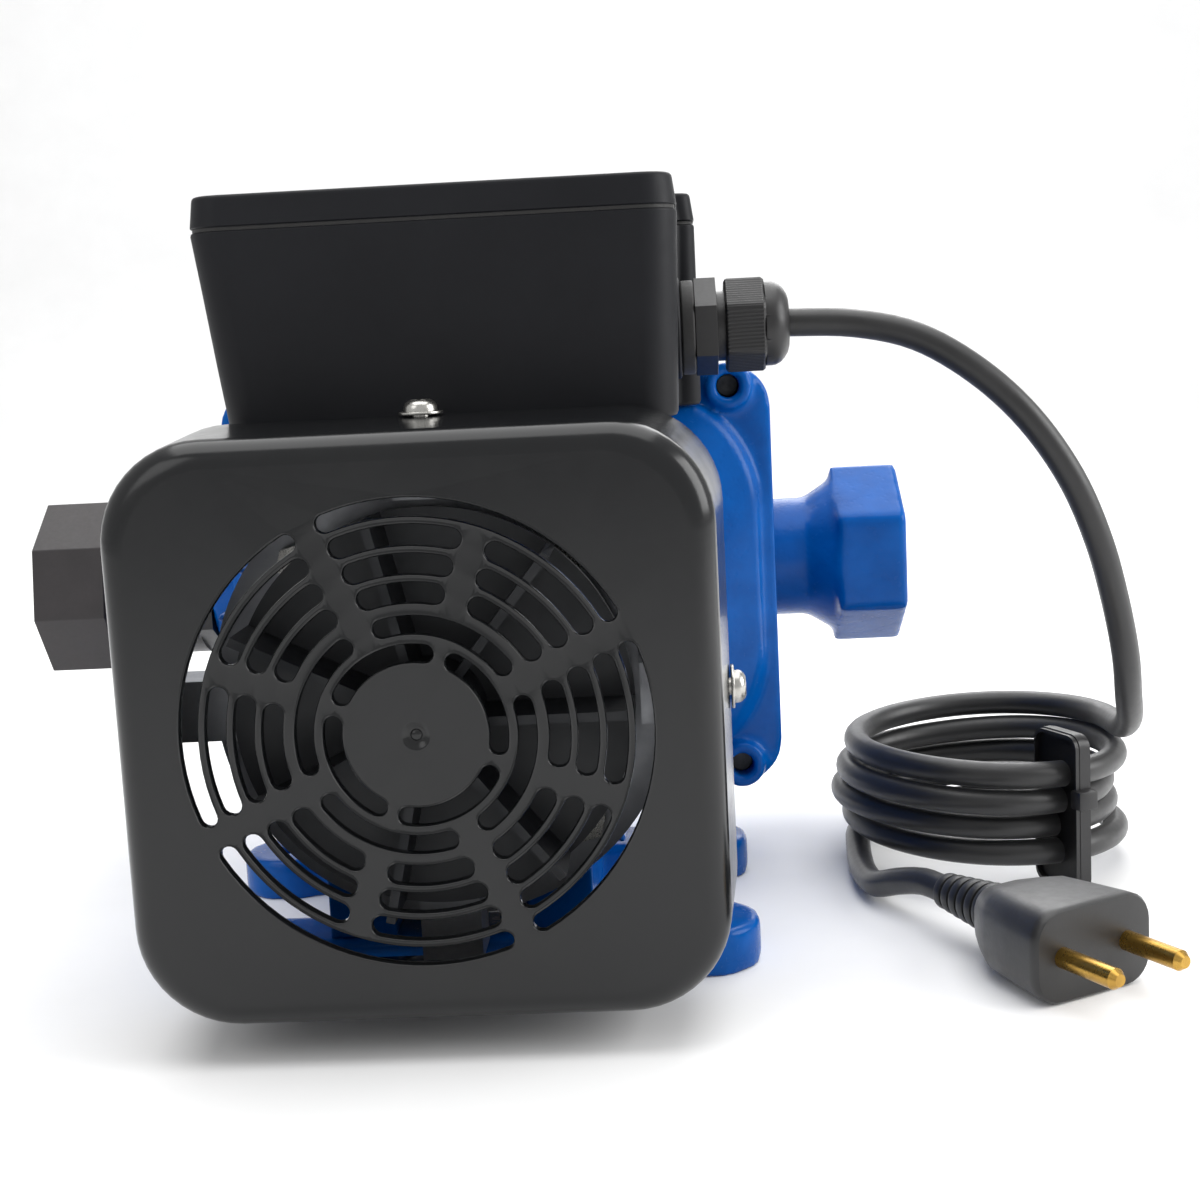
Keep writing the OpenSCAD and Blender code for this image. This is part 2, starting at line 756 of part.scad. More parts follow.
module on_flap(y) {
    translate([flap_x, port_y + y, flap_z]) rotate([-90, 0, 0]) children();
}

module flow_switch_body() {
    color([0.14, 0.14, 0.15]) difference() {
        union() {
            on_port(-107) cylinder(r = 21, h = 20, $fn = FINE);
            on_port(-87.1) flats(6, 40, 5);
            on_port(-82.5) cylinder(r = port_r - CLEAR, h = 18, $fn = FINE);
            on_port(seat_x) cylinder(r = 17, h = 16, $fn = FINE);
            on_port(seat_x) cylinder(r = 19, h = 2.5, $fn = FINE);
            translate([-106.5, port_y - 14, port_z + 8]) cube([19, 28, 18]);
        }
        on_port(seat_x - 1) cylinder(r = 13, h = 60, $fn = FINE);
        translate([-104, port_y - 8, port_z]) cube([14, 16, 18]);
        on_flap(-12) cylinder(r = 1.5 + CLEAR, h = 24, $fn = LOW);
        translate([-104, port_y - 11, port_z + 21]) cube([14, 22, 6]);
    }
}

module flap_pin() {
    color([0.75, 0.76, 0.78]) on_flap(-11.9) cylinder(r = 1.5, h = 23.8, $fn = LOW);
}

module flow_flap() {
    color([0.85, 0.85, 0.8]) difference() {
        union() {
            on_port(flap_x - 1) cylinder(r = 11, h = 2, $fn = FINE);
            on_flap(-6) cylinder(r = 3, h = 12, $fn = LOW);
            translate([flap_x - 1, port_y - 4, port_z + 6]) cube([2, 8, 5]);
        }
        on_flap(-20) cylinder(r = 1.55, h = 40, $fn = LOW);
    }
}

module reed_switch() {
    color([0.3, 0.3, 0.32]) {
        translate([-103.8, port_y - 10.8, port_z + 21.2]) cube([13.6, 21.6, 6.2]);
    }
}

module union_nut() {
    color([0.17, 0.16, 0.16]) difference() {
        union() {
            on_port(nut_x0) rotate(12.5) flats(8, nut_af, 21);
            on_port(nut_x0 + 20) cylinder(r = 22.5, h = 4.5, $fn = FINE);
        }
        on_port(nut_x0 - 1) cylinder(r = nut_thread_r, h = nut_thread_l + 1, $fn = FINE);
        on_port(nut_x0 + nut_thread_l - EPS) cylinder(r = nut_groove_r, h = nut_groove_l, $fn = FINE);
        on_port(nut_x0 - 1) cylinder(r = 17.3, h = 40, $fn = FINE);
    }
}

module union_washer() {
    color([0.1, 0.1, 0.1]) on_port(seat_x - 1.82) ring(18.5, 13, 1.8);
}

// ---- mains lead -------------------------------------------------------------------------

module power_cord() {
    color([0.1, 0.1, 0.1]) swept_tube(lead_points, cord_r, [0.5, -1, 0.6]);
}

module cord_coil() {
    color([0.1, 0.1, 0.1]) translate(coil_at) ring(coil_r + coil_half, coil_r - coil_half, coil_h - 1);
}

module cord_tail() {
    color([0.1, 0.1, 0.1]) swept_tube(tail_points, cord_r, [0, 0, 1]);
}

module cable_tie() {
    tie_t = 1.3;
    color([0.08, 0.08, 0.08]) translate([coil_at[0], coil_at[1], 0]) rotate(tie_turn) difference() {
        translate([coil_r - coil_half - tie_t - 0.1, -2.4, 0.1]) {
            cube([2 * coil_half + 2 * tie_t + 0.2, 4.8, coil_h + tie_t + 0.7]);
        }
        translate([coil_r - coil_half - 0.1, -3, coil_at[2] - 0.1]) {
            cube([2 * coil_half + 0.2, 6, coil_h - 0.8]);
        }
    }
}

module on_plug(x) {
    translate(plug_at) rotate([0, 0, plug_turn]) translate([x, 0, 0]) rotate([0, 90, 0]) children();
}

module plug_relief() {
    color([0.1, 0.1, 0.1]) on_plug(EPS) cylinder(r1 = 4.6, r2 = 6.4, h = relief_l, $fn = MID);
}

module plug_body() {
    color([0.12, 0.12, 0.12]) difference() {
        hull() {
            on_plug(relief_l + 2 * EPS) corner_discs(15, 18, 5);
            on_plug(relief_l + 10) corner_discs(20, 28, 6);
            on_plug(relief_l + plug_l) corner_discs(21.8, 34, 7);
        }
        for (s = [-1, 1]) on_plug(relief_l + plug_l - 8) translate([0, s * 9.5, 0]) {
            cylinder(r = 2.4, h = 10, $fn = LOW);
        }
    }
}

module plug_pins() {
    color([0.85, 0.8, 0.6]) for (s = [-1, 1]) {
        on_plug(relief_l + plug_l - 7.9) translate([0, s * 9.5, 0]) {
            cylinder(r = 2.4 - CLEAR, h = 24, $fn = LOW);
            translate([0, 0, 24 - EPS]) cylinder(r1 = 2.4 - CLEAR, r2 = 1.4, h = 1.5, $fn = LOW);
        }
    }
}

fan_cover();
cover_screws();
cover_washers();
cooling_fan();
fan_clip();
rear_end_shield();
motor_frame();
stator_core();
stator_windings();
rotor_core();
shaft();
rear_bearing();
front_bearing();
motor_bracket();
tie_bolts();
base_cradle();
cradle_bolts();
terminal_box();
box_lid();
lid_gasket();
lid_screws();
run_capacitor();
terminal_block();
earth_screw();
gland_body();
gland_washer();
gland_lock_nut();
gland_nut();
gland_insert();
pump_casing();
casing_gasket();
casing_bolts();
impeller();
impeller_nut();
seal_rotary();
seal_seat();
flow_switch_body();
flow_flap();
flap_pin();
reed_switch();
union_nut();
union_washer();
power_cord();
cord_coil();
cord_tail();
cable_tie();
plug_relief();
plug_body();
plug_pins();
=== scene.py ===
import logging
import math
from dataclasses import dataclass, field
from enum import Enum
from typing import Iterable, Sequence

import bmesh
import bpy
from mathutils import Matrix, Vector


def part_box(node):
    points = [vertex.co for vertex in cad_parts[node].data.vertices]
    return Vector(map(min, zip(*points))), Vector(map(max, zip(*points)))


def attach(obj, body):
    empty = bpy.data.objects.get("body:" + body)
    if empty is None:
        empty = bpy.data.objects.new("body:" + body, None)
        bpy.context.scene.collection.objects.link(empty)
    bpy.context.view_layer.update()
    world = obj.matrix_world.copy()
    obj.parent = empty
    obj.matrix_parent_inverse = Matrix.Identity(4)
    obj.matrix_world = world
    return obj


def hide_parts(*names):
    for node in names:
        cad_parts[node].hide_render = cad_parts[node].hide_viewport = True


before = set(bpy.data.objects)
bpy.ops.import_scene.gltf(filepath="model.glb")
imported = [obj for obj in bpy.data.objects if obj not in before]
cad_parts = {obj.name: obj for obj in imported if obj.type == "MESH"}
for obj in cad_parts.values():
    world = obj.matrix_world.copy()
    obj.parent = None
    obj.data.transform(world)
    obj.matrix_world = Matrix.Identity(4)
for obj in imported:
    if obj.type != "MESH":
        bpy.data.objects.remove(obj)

MM = 0.001
LOG = logging.getLogger("pool_pump")
Point = tuple[float, float, float]
Flat = tuple[float, float]
Edge = bmesh.types.BMEdge
Piece = bpy.types.Object
Tree = bpy.types.NodeTree
Socket = bpy.types.NodeSocket


# ---- meshes --------------------------------------------------------------------------------


def in_metres(points: Iterable[Sequence[float]]) -> list[Vector]:
    """Turn points in millimetres into vectors in metres.

    Args:
        points: Points of three numbers each.

    Returns:
        The same points, in metres.
    """
    return [Vector(p) * MM for p in points]


def rounded_outline(corners: Sequence[tuple[float, float, float]], steps: int) -> list[Flat]:
    """Round the corners of a closed outline with arcs.

    Args:
        corners: The outline's corners in order, each with its own radius.
        steps: Number of edges in each arc.

    Returns:
        The outline's points, with steps + 1 of them at each corner.
    """
    points = []
    count = len(corners)
    for i, (x, y, radius) in enumerate(corners):
        here = Vector((x, y))
        before = (Vector(corners[i - 1][:2]) - here).normalized()
        after = (Vector(corners[(i + 1) % count][:2]) - here).normalized()
        half = before.angle(after) / 2
        centre = here + (before + after).normalized() * radius / math.sin(half)
        start = here + before * radius / math.tan(half) - centre
        end = here + after * radius / math.tan(half) - centre
        turn = start.angle_signed(end)
        for k in range(steps + 1):
            spoke = start.copy()
            spoke.rotate(Matrix.Rotation(-turn * k / steps, 2))
            points.append(tuple(centre + spoke))
    return points


def round_rect(width: float, height: float, radius: float, steps: int) -> list[Flat]:
    """Outline of a rectangle with round corners, centred on the origin.

    Args:
        width: Its whole width.
        height: Its whole height.
        radius: Radius of the corners.
        steps: Number of edges in each corner's arc.

    Returns:
        The outline's points.
    """
    x, y = width / 2, height / 2
    return rounded_outline([(-x, -y, radius), (x, -y, radius), (x, y, radius), (-x, y, radius)], steps)


def circle(steps: int, radius: float = 1.0, first: float = 0.0) -> list[Flat]:
    """Points of a circle round the origin.

    Args:
        steps: Number of points.
        radius: The circle's radius.
        first: Angle of the first point, in radians.

    Returns:
        The points in order.
    """
    angles = [2 * math.pi * k / steps + first for k in range(steps)]
    return [(radius * math.cos(a), radius * math.sin(a)) for a in angles]


def add_loop(bm: bmesh.types.BMesh, points: Sequence[Vector]) -> list[Edge]:
    """Add a closed loop of edges through the points.

    Args:
        bm: The mesh to add to.
        points: The loop's points in order.

    Returns:
        The loop's edges.
    """
    verts = [bm.verts.new(p) for p in points]
    return [bm.edges.new((verts[i - 1], verts[i])) for i in range(len(verts))]


def add_skin(bm: bmesh.types.BMesh, loops: Sequence[Sequence[Vector]]) -> list[list[Edge]]:
    """Add loops of the same number of points and bridge each to the next.

    Args:
        bm: The mesh to add to.
        loops: The loops from one end of the skin to the other.

    Returns:
        The edges of each loop.
    """
    made = [add_loop(bm, loop) for loop in loops]
    for first, second in zip(made, made[1:]):
        bmesh.ops.bridge_loops(bm, edges=first + second)
    return made


def fill(bm: bmesh.types.BMesh, edges: Iterable[Edge]) -> None:
    """Fill a loop of edges with faces, or the space between an outline and its holes.

    Args:
        bm: The mesh to add to.
        edges: The loops' edges.
    """
    bmesh.ops.triangle_fill(bm, edges=list(edges), use_beauty=True)


def add_object(name: str, data: bpy.types.ID) -> Piece:
    """Put a new object in the scene, at the origin.

    Args:
        name: The object's name.
        data: Its mesh, curve, light or camera.

    Returns:
        The new object.
    """
    made = bpy.data.objects.new(name, data)
    bpy.context.scene.collection.objects.link(made)
    return made


def to_mesh(bm: bmesh.types.BMesh, name: str) -> bpy.types.Mesh:
    """Turn a bmesh into a mesh and free it.

    Args:
        bm: The bmesh.
        name: The mesh's name.

    Returns:
        The new mesh.
    """
    mesh = bpy.data.meshes.new(name)
    bm.to_mesh(mesh)
    bm.free()
    return mesh


def finish_mesh(bm: bmesh.types.BMesh, name: str, crease: float) -> Piece:
    """Close a bmesh into an object with outward normals and smooth shading.

    Args:
        bm: The finished bmesh, which is freed.
        name: The object's name.
        crease: Edges sharper than this many degrees are shaded sharp.

    Returns:
        The new object, at the origin.
    """
    bmesh.ops.remove_doubles(bm, verts=bm.verts, dist=0.002 * MM)
    bmesh.ops.recalc_face_normals(bm, faces=bm.faces)
    mesh = to_mesh(bm, name)
    mesh.shade_smooth()
    mesh.set_sharp_from_angle(angle=math.radians(crease))
    return add_object(name, mesh)


def weigh_normals(piece: Piece) -> None:
    """Let the large flat faces keep their own normals beside rounded edges.

    Args:
        piece: The piece to treat.
    """
    weighted = piece.modifiers.new("weighted_normals", "WEIGHTED_NORMAL")
    weighted.keep_sharp = True


def merged_copy(node: str, name: str) -> Piece:
    """Copy a CAD node into a new object with its loose triangles merged.

    Args:
        node: The CAD node's name.
        name: The copy's name.

    Returns:
        The copy, with its flat faces joined.
    """
    bm = bmesh.new()
    bm.from_mesh(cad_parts[node].data)
    bmesh.ops.remove_doubles(bm, verts=bm.verts, dist=0.01 * MM)
    bmesh.ops.dissolve_limit(bm, angle_limit=math.radians(0.6), verts=bm.verts, edges=bm.edges)
    return add_object(name, to_mesh(bm, name))


def moulded_copy(node: str, width: float) -> Piece:
    """Copy a CAD node and round its edges, as a mould or a cutter leaves them.

    Args:
        node: The CAD node's name.
        width: Width of the rounding, in millimetres.

    Returns:
        The new piece, named after the node.
    """
    piece = merged_copy(node, node + "_moulded")
    piece.data.shade_smooth()
    bevel = piece.modifiers.new("edges", "BEVEL")
    bevel.width = width * MM
    bevel.segments = 2
    bevel.limit_method = "ANGLE"
    bevel.angle_limit = math.radians(32)
    bevel.miter_outer = "MITER_ARC"
    bevel.use_clamp_overlap = True
    weigh_normals(piece)
    return piece


def cast_copy(node: str, voxel: float, passes: int, keep: float) -> Piece:
    """Copy a CAD node as a sand casting: every edge and inside corner softly rounded.

    Args:
        node: The CAD node's name.
        voxel: Size of the remesh's cells, in millimetres.
        passes: Number of smoothing passes.
        keep: Part of the triangles that is kept.

    Returns:
        The new piece, named after the node.
    """
    piece = merged_copy(node, node + "_cast")
    remesh = piece.modifiers.new("cells", "REMESH")
    remesh.mode = "VOXEL"
    remesh.voxel_size = voxel * MM
    smooth = piece.modifiers.new("fettling", "SMOOTH")
    smooth.factor = 0.5
    smooth.iterations = passes
    thin = piece.modifiers.new("thin", "DECIMATE")
    thin.ratio = keep
    evaluated = piece.evaluated_get(bpy.context.evaluated_depsgraph_get())
    mesh = bpy.data.meshes.new_from_object(evaluated)
    piece.modifiers.clear()
    piece.data = mesh
    mesh.shade_smooth()
    return piece


# ---- materials -----------------------------------------------------------------------------


def linear(colour: str) -> tuple[float, float, float, float]:
    """Turn an sRGB colour into linear RGBA.

    Args:
        colour: The colour in hex, such as #1a2b3c.

    Returns:
        Red, green, blue and an alpha of 1.
    """
    channels = [int(colour[i : i + 2], 16) / 255 for i in (1, 3, 5)]
    values = [c / 12.92 if c <= 0.04045 else ((c + 0.055) / 1.055) ** 2.4 for c in channels]
    return (values[0], values[1], values[2], 1.0)


def add_node(tree: Tree, kind: str, settings: dict | None = None,
             links: dict | None = None) -> bpy.types.Node:
    """Add one node with its settings and links.

    Args:
        tree: The material's node tree.
        kind: The node's type name.
        settings: Values by property or input name.
        links: Output sockets by input name.

    Returns:
        The new node.
    """
    node = tree.nodes.new(kind)
    for key, value in (settings or {}).items():
        if hasattr(node, key):
            setattr(node, key, value)
        else:
            node.inputs[key].default_value = value
    for key, socket in (links or {}).items():
        tree.links.new(socket, node.inputs[key])
    return node


def add_ramp(tree: Tree, factor: Socket,
             stops: Sequence[tuple[float, str]]) -> Socket:
    """Add a colour ramp.

    Args:
        tree: The material's node tree.
        factor: The socket that drives the ramp.
        stops: Positions from 0 to 1 with their hex colours.

    Returns:
        The ramp's colour output.
    """
    node = add_node(tree, "ShaderNodeValToRGB", links={"Fac": factor})
    ramp = node.color_ramp
    while len(ramp.elements) < len(stops):
        ramp.elements.new(0.5)
    for element, (position, colour) in zip(ramp.elements, stops):
        element.position = position
        element.color = linear(colour)
    return node.outputs["Color"]


@dataclass(frozen=True)
class Finish:
    """A surface finish: two close shades in soft blotches, and a fine grain in height.

    The base class serves plain mouldings. Sizes are in millimetres.
    """

    name: str
    base: str
    shade: str
    roughness: Flat = (0.35, 0.5)
    blotch: float = 18.0
    grain: float = 0.5
    grain_height: float = 0.01
    metallic: float = 0.0
    ior: float | None = 1.5
    sheen: float = 0.0

    def build(self) -> bpy.types.Material:
        """Build the node material."""
        material = bpy.data.materials.new(self.name)
        material.use_nodes = True
        tree = material.node_tree
        shader = tree.nodes["Principled BSDF"]
        coords = add_node(tree, "ShaderNodeTexCoord").outputs["Object"]
        blotches = self.noise(tree, coords, self.blotch, 4.0)
        tree.links.new(self.colour(tree, blotches), shader.inputs["Base Color"])
        tree.links.new(self.gloss(tree, coords, blotches), shader.inputs["Roughness"])
        tree.links.new(self.relief(tree, coords), shader.inputs["Normal"])
        shader.inputs["Metallic"].default_value = self.metallic
        if self.ior:
            shader.inputs["IOR"].default_value = self.ior
        shader.inputs["Sheen Weight"].default_value = self.sheen
        return material

    @staticmethod
    def noise(tree: Tree, coords: Socket, size: float,
              detail: float = 2.0) -> Socket:
        """Add a noise with features of a real size.

        Args:
            tree: The material's node tree.
            coords: The coordinates to read.
            size: The size of its features, in millimetres.
            detail: Number of finer layers.

        Returns:
            The noise's value output.
        """
        settings = {"Scale": 1 / (size * MM), "Detail": detail, "Roughness": 0.55}
        return add_node(tree, "ShaderNodeTexNoise", settings, {"Vector": coords}).outputs["Fac"]

    def colour(self, tree: Tree, blotches: Socket) -> Socket:
        """Mix the two shades by the blotches.

        Args:
            tree: The material's node tree.
            blotches: The blotches' value.

        Returns:
            The colour output.
        """
        return add_ramp(tree, blotches, [(0.3, self.base), (0.72, self.shade)])

    def gloss(self, tree: Tree, coords: Socket,
              blotches: Socket) -> Socket:
        """Spread the roughness over its range by the blotches and a finer haze.

        Args:
            tree: The material's node tree.
            coords: The coordinates to read.
            blotches: The blotches' value.

        Returns:
            The roughness output.
        """
        haze = self.noise(tree, coords, self.blotch / 7, 3.0)
        both = add_node(tree, "ShaderNodeMath", {"operation": "ADD"}, {0: blotches, 1: haze})
        spread = add_node(tree, "ShaderNodeMapRange", {"From Min": 0.6, "From Max": 1.4,
                          "To Min": self.roughness[0], "To Max": self.roughness[1]},
                          {"Value": both.outputs[0]})
        return spread.outputs["Result"]

    def relief(self, tree: Tree, coords: Socket) -> Socket:
        """Raise the fine grain of the mould.

        Args:
            tree: The material's node tree.
            coords: The coordinates to read.

        Returns:
            The normal output.
        """
        grain = self.noise(tree, coords, self.grain, 2.0)
        bump = add_node(tree, "ShaderNodeBump", {"Strength": 1.0, "Distance": self.grain_height * MM},
                        {"Height": grain})
        return bump.outputs["Normal"]


@dataclass(frozen=True)
class CastEnamel(Finish):
    """Thick enamel over a sand casting: it flows over the grit and thins at lumps."""

    grit: float = 2.2
    grit_height: float = 0.22

    def relief(self, tree: Tree, coords: Socket) -> Socket:
        """Lay lumps of the casting under the fine orange peel of the enamel.

        Args:
            tree: The material's node tree.
            coords: The coordinates to read.

        Returns:
            The normal output.
        """
        lumps = self.noise(tree, coords, self.grit * 3, 3.0)
        pits = add_node(tree, "ShaderNodeTexVoronoi", {"Scale": 1 / (self.grit * MM), "Randomness": 1.0},
                        {"Vector": coords}).outputs["Distance"]
        soft = add_node(tree, "ShaderNodeMapRange", {"From Min": 0.0, "From Max": 0.35,
                        "To Min": 0.0, "To Max": 0.35}, {"Value": pits}).outputs["Result"]
        both = add_node(tree, "ShaderNodeMath", {"operation": "ADD"}, {0: lumps, 1: soft})
        casting = add_node(tree, "ShaderNodeBump", {"Strength": 0.55, "Distance": self.grit_height * MM},
                           {"Height": both.outputs[0]})
        peel = self.noise(tree, coords, self.grain, 2.0)
        bump = add_node(tree, "ShaderNodeBump", {"Strength": 0.5, "Distance": self.grain_height * MM},
                        {"Height": peel, "Normal": casting.outputs["Normal"]})
        return bump.outputs["Normal"]


@dataclass(frozen=True)
class TurnedMetal(Finish):
    """Bright metal with the fine lines that a lathe or a press leaves."""

    lines: float = 0.25

    def relief(self, tree: Tree, coords: Socket) -> Socket:
        """Stretch a fine noise into lines.

        Args:
            tree: The material's node tree.
            coords: The coordinates to read.

        Returns:
            The normal output.
        """
        stretch = add_node(tree, "ShaderNodeMapping", {"Scale": (1.0, 0.06, 1.0)}, {"Vector": coords})
        lines = self.noise(tree, stretch.outputs["Vector"], self.lines, 2.0)
        bump = add_node(tree, "ShaderNodeBump", {"Strength": 0.4, "Distance": self.grain_height * MM},
                        {"Height": lines})
        return bump.outputs["Normal"]


class Look(Enum):
    """The finishes of the pump, by what each surface is made of."""

    # Injection-moulded ABS from a polished mould: near black, glossy, with faint flow haze
    GLOSSY_ABS = Finish("glossy_moulded_abs", "#111214", "#151617", (0.15, 0.24), 30, 1.8, 0.004,
                        ior=1.44)
    # Moulded polypropylene from a spark-eroded mould: satin black with a fine grain
    SATIN_BOX = Finish("satin_moulded_polypropylene", "#101115", "#15161a", (0.44, 0.56), 24, 0.45, 0.012,
                       ior=1.3)
    # Glass-filled nylon: dark grey-black, satin, slightly mottled
    NYLON = Finish("glass_filled_nylon", "#111113", "#191819", (0.34, 0.5), 6, 0.4, 0.01, ior=1.53)
    # The union nut's nylon has a browner, duller face
    NUT_NYLON = Finish("moulded_nut_nylon", "#252122", "#302b2c", (0.4, 0.58), 9, 0.5, 0.015, ior=1.53)
    # Blue enamel sprayed over cast iron
    BLUE_ENAMEL = CastEnamel("blue_enamel_on_casting", "#0057a8", "#004891", (0.16, 0.3), 12, 0.9,
                             0.012, ior=1.26)
    # Zinc-plated steel screws
    ZINC = TurnedMetal("bright_zinc_plate", "#c9c8c4", "#b0aea8", (0.2, 0.36), 3, 0.3, 0.006,
                       metallic=1.0, ior=None)
    # Zinc plate darkened as painted shade, so the casing bolts' recessed ends read as shadowed holes
    PAINTED_SHADE_ZINC = TurnedMetal("zinc_plate_with_painted_shade", "#47484a", "#323335", (0.42, 0.58), 3, 0.4, 0.02,
                            metallic=1.0, ior=None)
    # Ground and polished steel of shafts and bearings
    STEEL = TurnedMetal("ground_steel", "#b9babd", "#a3a4a8", (0.18, 0.3), 5, 0.3, 0.005,
                        metallic=1.0, ior=None)
    # Stacked electrical steel
    LAMINATION = TurnedMetal("stacked_electrical_steel", "#7f8083", "#6b6c70", (0.4, 0.55), 4, 0.5, 0.02,
                             metallic=1.0, ior=None)
    # Die-cast aluminium, as cast
    ALUMINIUM = TurnedMetal("die_cast_aluminium", "#b4b6ba", "#a1a3a8", (0.34, 0.5), 8, 0.8, 0.02,
                            metallic=1.0, ior=None)
    # Enamelled copper wire
    COPPER = TurnedMetal("enamelled_copper_wire", "#a4542a", "#84401f", (0.25, 0.4), 3, 0.6, 0.03,
                         metallic=1.0, ior=None)
    # Turned brass
    BRASS = TurnedMetal("turned_brass", "#c19a4b", "#a88340", (0.22, 0.36), 4, 0.3, 0.006,
                        metallic=1.0, ior=None)
    # Mid grey polypropylene of the fan
    FAN_GREY = Finish("grey_polypropylene", "#34363a", "#2c2e32", (0.4, 0.55), 20, 0.6, 0.01, ior=1.49)
    # Cream thermoplastic of terminal block and capacitor
    CREAM = Finish("cream_thermoplastic", "#dcd8c8", "#d1ccb9", (0.35, 0.5), 15, 0.5, 0.008, ior=1.5)
    # Lapped ceramic of the seal's seat
    CERAMIC = Finish("lapped_ceramic", "#e6e1d4", "#ddd7c8", (0.12, 0.2), 10, 0.6, 0.003, ior=1.7)
    # Moulded nitrile rubber of gaskets and washers
    RUBBER = Finish("moulded_nitrile_rubber", "#141414", "#1c1b1b", (0.5, 0.68), 7, 0.5, 0.02,
                    ior=1.52, sheen=0.1)
    # Extruded rubber sheath of the mains lead, slightly greyed where it was handled
    SHEATH = Finish("extruded_rubber_sheath", "#101011", "#181819", (0.34, 0.5), 14, 0.7, 0.012,
                    ior=1.52, sheen=0.15)


MATERIALS: dict[Look, bpy.types.Material] = {}


def dress(piece: Piece, look: Look) -> Piece:
    """Give a piece one finish all over.

    Args:
        piece: The piece to dress.
        look: The finish.

    Returns:
        The same piece.
    """
    if look not in MATERIALS:
        MATERIALS[look] = look.value.build()
    piece.data.materials.clear()
    piece.data.materials.append(MATERIALS[look])
    return piece


def place(piece: Piece, look: Look, body: str, slot: str, *nodes: str) -> Piece:
    """Dress a finished piece, hang it on its CAD body and hide the CAD nodes that it stands for.

    Args:
        piece: The piece.
        look: Its finish.
        body: The CAD body that it rides on.
        slot: The record's material slot; not used.
        nodes: The CAD nodes that it stands for.

    Returns:
        The same piece.
    """
    dress(piece, look)
    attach(piece, body)
    if nodes:
        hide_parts(*nodes)
    LOG.info("%s rides on %s", piece.name, body)
    return piece


# ---- the view ------------------------------------------------------------------------------


@dataclass
class Studio:
    """The floor, the lights and the camera. Angles in radians, places in millimetres."""

    eye: Point = (55.4, -448.3, 150.5)
    yaw: float = 0.045
    pitch: float = 0.146
    roll: float = -0.051
    focal: float = 52.5
    floor_size: float = 4000.0

    def build_camera(self) -> Piece:
        """Stand the camera in front of the fan cover, a little to its right and above the shaft."""
        forward = Vector((-math.sin(self.yaw) * math.cos(self.pitch),
                          math.cos(self.yaw) * math.cos(self.pitch), -math.sin(self.pitch)))
        level = Vector((math.cos(self.yaw), math.sin(self.yaw), 0))
        upright = level.cross(forward)
        right = level * math.cos(self.roll) + upright * math.sin(self.roll)
        up = upright * math.cos(self.roll) - level * math.sin(self.roll)
        data = bpy.data.cameras.new("camera")
        data.lens = self.focal
        data.sensor_width = 36.0
        data.clip_start = 0.01
        camera = add_object("camera", data)
        turned = Matrix((right, up, -forward)).transposed()
        camera.matrix_world = Matrix.Translation(Vector(self.eye) * MM) @ turned.to_4x4()
        bpy.context.scene.camera = camera
        return camera

    def build_floor(self) -> Piece:
        """Lay a pale floor that turns up into a backdrop far behind the pump."""
        half = self.floor_size / 2
        profile = [(-half, 0.0), (1000, 0.0), (1300, 60), (1500, 260), (1560, 600), (1560, 2600)]
        bm = bmesh.new()
        verts = [bm.verts.new(Vector((-half, y, z)) * MM) for y, z in profile]
        edges = [bm.edges.new(pair) for pair in zip(verts, verts[1:])]
        grown = bmesh.ops.extrude_edge_only(bm, edges=edges)["geom"]
        across = [v for v in grown if isinstance(v, bmesh.types.BMVert)]
        bmesh.ops.translate(bm, verts=across, vec=Vector((self.floor_size * MM, 0, 0)))
        floor = finish_mesh(bm, "floor", 80)
        paper = bpy.data.materials.new("white_paper_backdrop")
        paper.use_nodes = True
        tree = paper.node_tree
        shader = tree.nodes["Principled BSDF"]
        coords = add_node(tree, "ShaderNodeTexCoord").outputs["Object"]
        fibre = Finish.noise(tree, coords, 40, 5.0)
        white = add_ramp(tree, fibre, [(0.3, "#f4f4f4"), (0.7, "#f7f7f7")])
        tree.links.new(white, shader.inputs["Base Color"])
        shader.inputs["Roughness"].default_value = 0.9
        floor.data.materials.append(paper)
        return floor

    def build_lights(self) -> None:
        """Hang large soft boxes over, in front of and beside the pump."""
        world = bpy.data.worlds.new("soft_room")
        world.use_nodes = True
        world.node_tree.nodes["Background"].inputs["Color"].default_value = (1, 1, 1, 1)
        world.node_tree.nodes["Background"].inputs["Strength"].default_value = 0.62
        bpy.context.scene.world = world
        bpy.context.scene.view_settings.view_transform = "Standard"
        boxes = [
            ("overhead_box", (0, 100, 1300), (0, 0, 80), 1500, 17),
            ("right_box", (900, -150, 450), (60, 0, 90), 600, 6),
            ("left_front_box", (-650, -750, 700), (0, -40, 100), 500, 1.2),
            ("back_box", (200, 900, 700), (0, 60, 120), 700, 5),
        ]
        for name, place_at, aim, size, power in boxes:
            data = bpy.data.lights.new(name, "AREA")
            data.shape = "SQUARE"
            data.size = size * MM
            data.energy = power
            lamp = add_object(name, data)
            lamp.location = Vector(place_at) * MM
            lamp.rotation_euler = (Vector(aim) - Vector(place_at)).to_track_quat("-Z", "Y").to_euler()


# ---- the mains lead ------------------------------------------------------------------------


